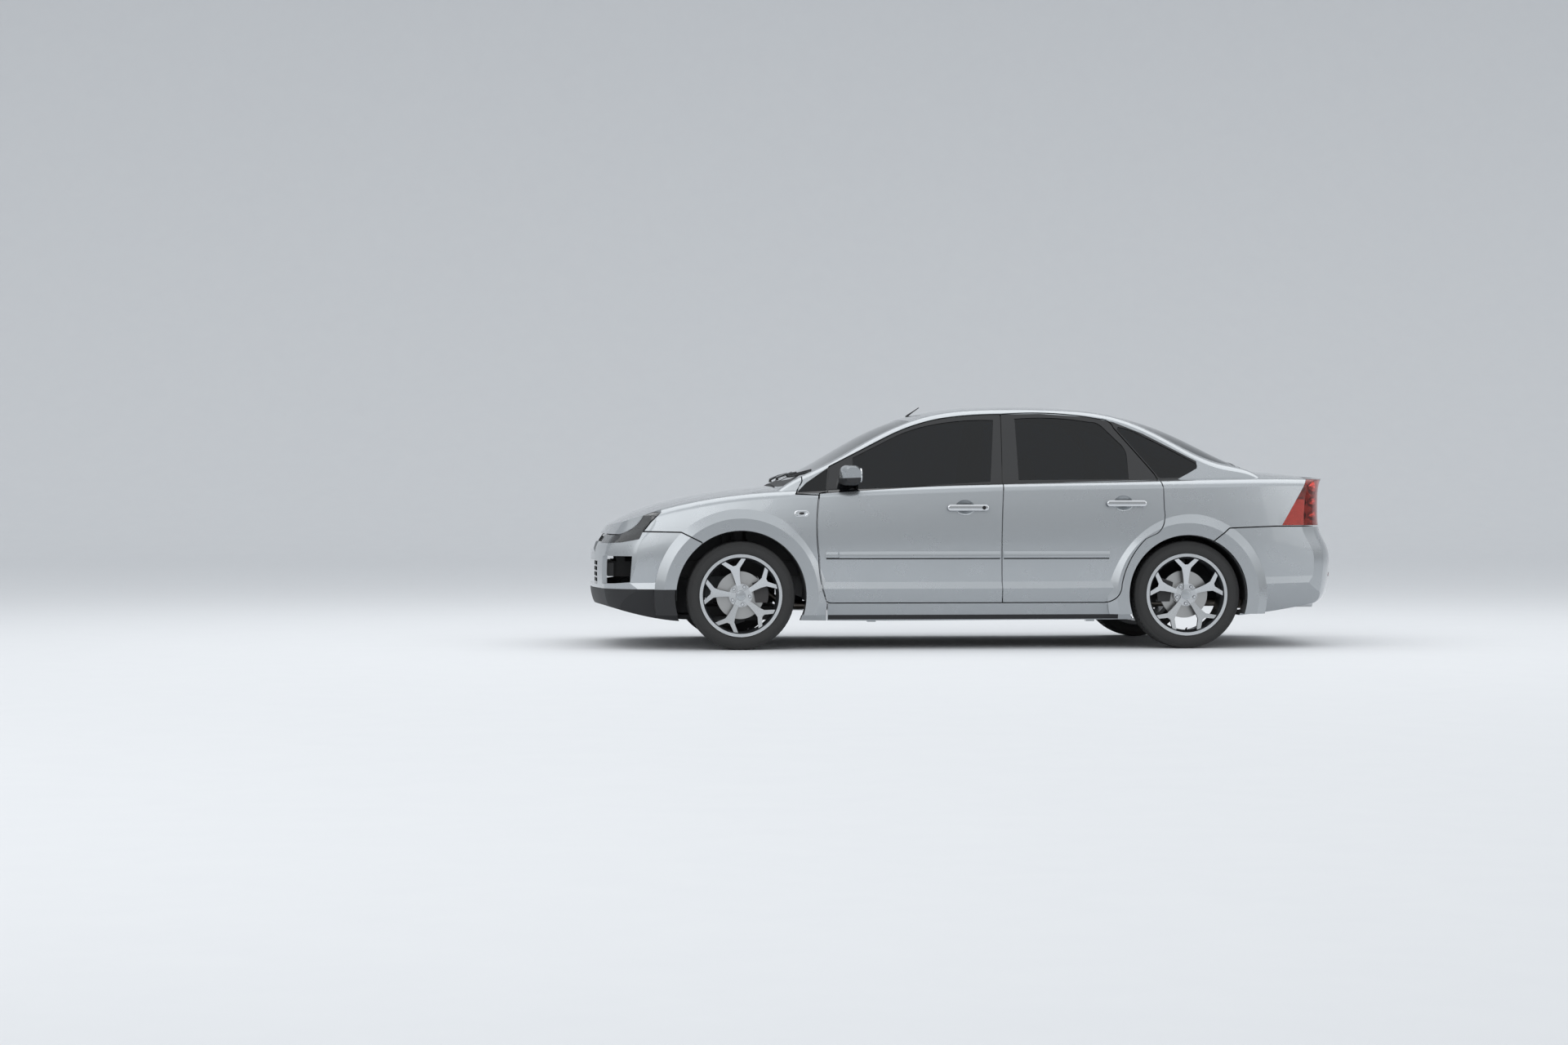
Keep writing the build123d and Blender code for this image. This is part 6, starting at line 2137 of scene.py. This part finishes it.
@dataclass
class Wiper:
    """A parked wiper: an arm from its pivot on the cowl to the middle of its blade.

    Attributes:
        name: "left" or "right".
        pivot: Distance of its pivot from the car's middle.
        start: Where its blade begins across the car.
        end: Where it ends.
        pivot_x: Place of the pivot along the car.
        blade_x: Place of a blade along the car, at the car's middle.
        bow: How much further back the glass's foot is at glass_half.
        glass_half: Half of the glass's width at its foot.
        steps: Steps along the blade.
        blade_radius: Radius of the blade.
        blade_gap: Distance of the blade's middle line from the glass.
        lift: Height of the arm over its foot.
    """

    name: str
    pivot: float
    start: float
    end: float
    pivot_x: float = -1.105
    blade_x: float = -1.030
    bow: float = 0.12
    glass_half: float = 0.72
    steps: int = 14
    blade_radius: float = 0.0055
    blade_gap: float = 0.006
    lift: float = 0.018

    def build(self, glass: Skin) -> None:
        """Lay it on the glass.

        Args:
            glass: The windscreen with the cowl ahead of it.
        """
        blade: list[Vector] = []
        for step in range(self.steps + 1):
            y = self.start + (self.end - self.start) * step / self.steps
            met = glass.top(self.blade_x + self.bow * (y / self.glass_half) ** 2, y)
            if met is not None:
                blade.append(met[0] + met[1] * self.blade_gap)
        foot = glass.top(self.pivot_x, self.pivot)
        if foot is None or len(blade) < self.steps * 2 / 3:
            LOG.warning("no place for wiper %s", self.name)
            return
        vertices, faces = tube(blade, [self.blade_radius] * len(blade), 8)
        new_piece(f"wiper_blade_{self.name}", vertices, faces, GRAINED_BLACK, "body", 50.0)
        middle = blade[len(blade) // 2]
        root = foot[0] + Vector((0.0, 0.0, 0.004))
        up = Vector((0.0, 0.0, self.lift))
        arm = [root, root + up, (root + middle) / 2 + up, middle + up * 0.45]
        vertices, faces = tube(arm, [0.010, 0.008, 0.006, 0.005], 10)
        new_piece(f"wiper_arm_{self.name}", vertices, faces, GLOSS_BLACK, "body", 50.0)


# Section of the tail pipe's bright end, as (distance back from its front edge, radius).
TAIL_PIPE_SECTION = (
    (0.000, 0.0265), (0.000, 0.0320), (0.110, 0.0330), (0.1125, 0.0322), (0.1125, 0.0300),
    (0.108, 0.0290), (0.0635, 0.0285), (0.0625, 0.0265),
)


@dataclass
class OutsideTrim:
    """Mirror glass, splash shields, dark strips along the sills' lower edges, wipers, aerial and
    tail pipe.

    Attributes:
        mirror: Middle of the right mirror's glass (y, z).
        mirror_size: Its width and height.
        mirror_rows: Places along the car of its rows, each with how much wider it is there.
        shield_plan: Outline (x, y) of the right splash shield ahead of a front wheel.
        shield_heights: Its lower and upper edge.
        sill_strip_ends: Both ends of the dark strip along a sill's lower edge.
        sill_strip_z: Its height.
        wipers: The two wipers.
        aerial_x: Place of the aerial's foot along the car.
        aerial: Points (x, z) of the aerial from its foot.
        aerial_radii: Its radius at each.
        pipe: Front end of the tail pipe.
    """

    mirror: Point2 = (0.908, 1.022)
    mirror_size: Point2 = (0.142, 0.084)
    mirror_rows: tuple[Point2, ...] = (
        (-0.684, 0.0), (-0.6745, 0.0), (-0.6730, -0.0015), (-0.6728, -0.006)
    )
    shield_plan: tuple[Point2, ...] = (
        (-1.575, 0.436), (-1.575, 0.440), (-1.760, 0.440), (-1.768, 0.448), (-1.768, 0.700),
        (-1.772, 0.700), (-1.772, 0.446), (-1.762, 0.436),
    )
    shield_heights: Point2 = (0.205, 0.400)
    sill_strip_ends: Point2 = (-0.86, 0.86)
    sill_strip_z: float = 0.190
    wipers: tuple[Wiper, ...] = (
        Wiper("left", -0.10, -0.62, -0.04), Wiper("right", 0.46, 0.02, 0.54)
    )
    aerial_x: float = -0.300
    aerial: tuple[Point2, ...] = ((0.0, -0.003), (0.012, 0.010), (0.040, 0.030), (0.078, 0.056))
    aerial_radii: tuple[float, ...] = (0.0095, 0.0060, 0.0034, 0.0026)
    pipe: Point3 = (2.000, -0.480, 0.262)

    def mirror_glass(self, side: str, sign: int) -> None:
        """Build a door mirror's glass.

        Args:
            side: "left" or "right".
            sign: -1 for the left side.
        """
        vertices: list[Point3] = []
        for x, grow in self.mirror_rows:
            width, height = (size + 2 * grow for size in self.mirror_size)
            outline = stadium(sign * self.mirror[0], self.mirror[1], width, height, 12)
            vertices += [(x, y, z) for y, z in outline]
        rows = len(self.mirror_rows)
        faces = ring_faces(rows, len(vertices) // rows)
        new_piece(
            f"mirror_glass_{side}", vertices, faces, MIRROR_GLASS, f"door_front_{side}", 30.0
        )

    def splash_shield(self, side: str, sign: int) -> None:
        """Build the shield ahead of a front wheel.

        Args:
            side: "left" or "right".
            sign: -1 for the left side.
        """
        shield = [(x, sign * y, z) for z in self.shield_heights for x, y in self.shield_plan]
        faces = ring_faces(2, len(self.shield_plan))
        new_piece(f"splash_shield_{side}", shield, faces, GRAINED_BLACK, "body", 20.0)

    def roof_aerial(self, roof: Skin) -> None:
        """Build the short aerial on the roof's middle."""
        foot = roof.top(self.aerial_x, 0.0)
        if foot is None:
            LOG.warning("no place for the aerial")
            return
        mast = [foot[0] + Vector((x, 0.0, z)) for x, z in self.aerial]
        vertices, faces = tube(mast, self.aerial_radii, 16)
        new_piece("roof_aerial", vertices, faces, GRAINED_BLACK, "body", 50.0)

    def tail_pipe(self) -> None:
        """Build the bright end of the tail pipe."""
        back = Vector((1.0, 0.0, 0.0))
        vertices, faces = revolved(TAIL_PIPE_SECTION, Vector(self.pipe), back, 48, closed=True)
        new_piece("tail_pipe", vertices, faces, BRIGHT_METAL, "body", 35.0)

    def build(self, frame: dict) -> None:
        """Add every piece of it.
        """
        for side, sign in SIDES:
            self.mirror_glass(side, sign)
            self.splash_shield(side, sign)
            # A thin dark strip in grained black along the lower edge of each sill.
            path = ((self.sill_strip_ends[0], self.sill_strip_z), (self.sill_strip_ends[1], self.sill_strip_z))
            Moulding(
                f"sill_guard_{side}", path, 0.026, 0.003, GRAINED_BLACK, "body", sign, step=0.05
            ).build(Skin(frame, [f"side_frame_{side}"]))
        glass = Skin(frame, ["windscreen", "cowl_panel"])
        for wiper in self.wipers:
            wiper.build(glass)
        self.roof_aerial(Skin(frame, ["roof_panel"]))
        self.tail_pipe()


@dataclass
class Saloon:
    """The whole car: finishes on the CAD nodes and the pieces added to them.

    Attributes:
        wheel_y: Distance of the wheels' middles from the car's centre line.
        wheel_z: Height of the wheels' middles.
        lining: Share inboard of the normal from which a door or frame shows its lining.
        rim_face: Share outboard of the normal from which a rim is turned bright.
    """

    frame: dict
    wheel_y: float = 0.7675
    wheel_z: float = 0.3185
    lining: float = -0.35
    rim_face: float = 0.9

    def finish_nodes(self) -> None:
        """Give every CAD node its finish."""
        nodes = self.frame["nodes"]
        for name, finish in NODE_FINISHES.items():
            dress(nodes[name], finish.material())
        shell = SILVER.material(
            (WINDOW_BAND, GLOSS_BLACK), (Facing("Y", self.lining, below=True), DOOR_TRIM)
        )
        rim = DARK_ALLOY.material((Facing("Y", self.rim_face), TURNED_ALLOY))
        for side, _ in SIDES:
            for name, finish in SIDED_FINISHES.items():
                dress(nodes[f"{name}_{side}"], finish.material())
            for name in ("side_frame", "door_front", "door_rear"):
                dress(nodes[f"{name}_{side}"], shell)
            dress(nodes[f"door_mirror_{side}"], SILVER.material((MIRROR_BAND, GRAINED_BLACK)))
            for place, _ in PLACES:
                dress(nodes[f"rim_{place}_{side}"], rim)
        dress(nodes["roof_panel"], SILVER.material((Facing("Z", -0.3, below=True), HEADLINER)))
        for name in ("floor_pan", "boot_floor"):
            dress(nodes[name], UNDERBODY.material((Facing("Z", 0.3), CARPET)))

    def wheels(self) -> None:
        """Build tyres, caps, bolts and valves."""
        for place, x in PLACES:
            for side, sign in SIDES:
                centre = Vector((x, sign * self.wheel_y, self.wheel_z))
                Tyre().build(place, side, centre)
                WheelTrim().build(place, side, sign, centre)

    def handles(self) -> None:
        """Put bright grips on the four doors."""
        for side, sign in SIDES:
            front = Handle(-0.164, 0.081, 0.832, lock=side == "left", cup_middle=-0.058)
            rear = Handle(0.780, 1.018, 0.857, lock=False, cup_middle=0.883)
            for handle, door in ((front, "front"), (rear, "rear")):
                handle.cup(Skin(self.frame, [f"door_{door}_{side}"]), door, side, sign)
                handle.build(door, side, sign)

    def lamps(self) -> None:
        """Turn the CAD's lamp blocks into lenses over chambers."""
        LampCluster(
            self.frame, "headlamps", CLEAR_LENS, SMOKED_CHAMBER, -1,
            (
                LampUnit(0.470, 0.672, 0.034, 0.045, CLEAR_LENS),
                LampUnit(0.566, 0.684, 0.042, 0.055, CLEAR_LENS),
                LampUnit(0.672, 0.706, 0.036, 0.045, AMBER_LENS),
            ),
        ).build()
        LampCluster(
            self.frame, "tail_lamps", RED_LENS, RED_CHAMBER, 1,
            (
                LampUnit(0.668, 0.945, 0.040, 0.030, RED_LENS),
                LampUnit(0.672, 0.862, 0.034, 0.030, AMBER_LENS),
                LampUnit(0.672, 0.785, 0.032, 0.030, CLEAR_LENS),
            ),
        ).build()

    def build(self) -> None:
        """Build every piece in order."""
        self.finish_nodes()
        self.wheels()
        RubStrips().build(self.frame)
        self.handles()
        SideLamps().build(self.frame)
        Nose().build(self.frame)
        self.lamps()
        Seats().build()
        Cockpit().build()
        OutsideTrim().build(self.frame)


def main() -> None:
    """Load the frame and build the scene."""
    logging.basicConfig(level=logging.INFO, format="%(name)s: %(message)s")
    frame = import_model()
    Camera().build()
    Studio().build()
    Saloon(frame).build()


if __name__ == "__main__":
    main()
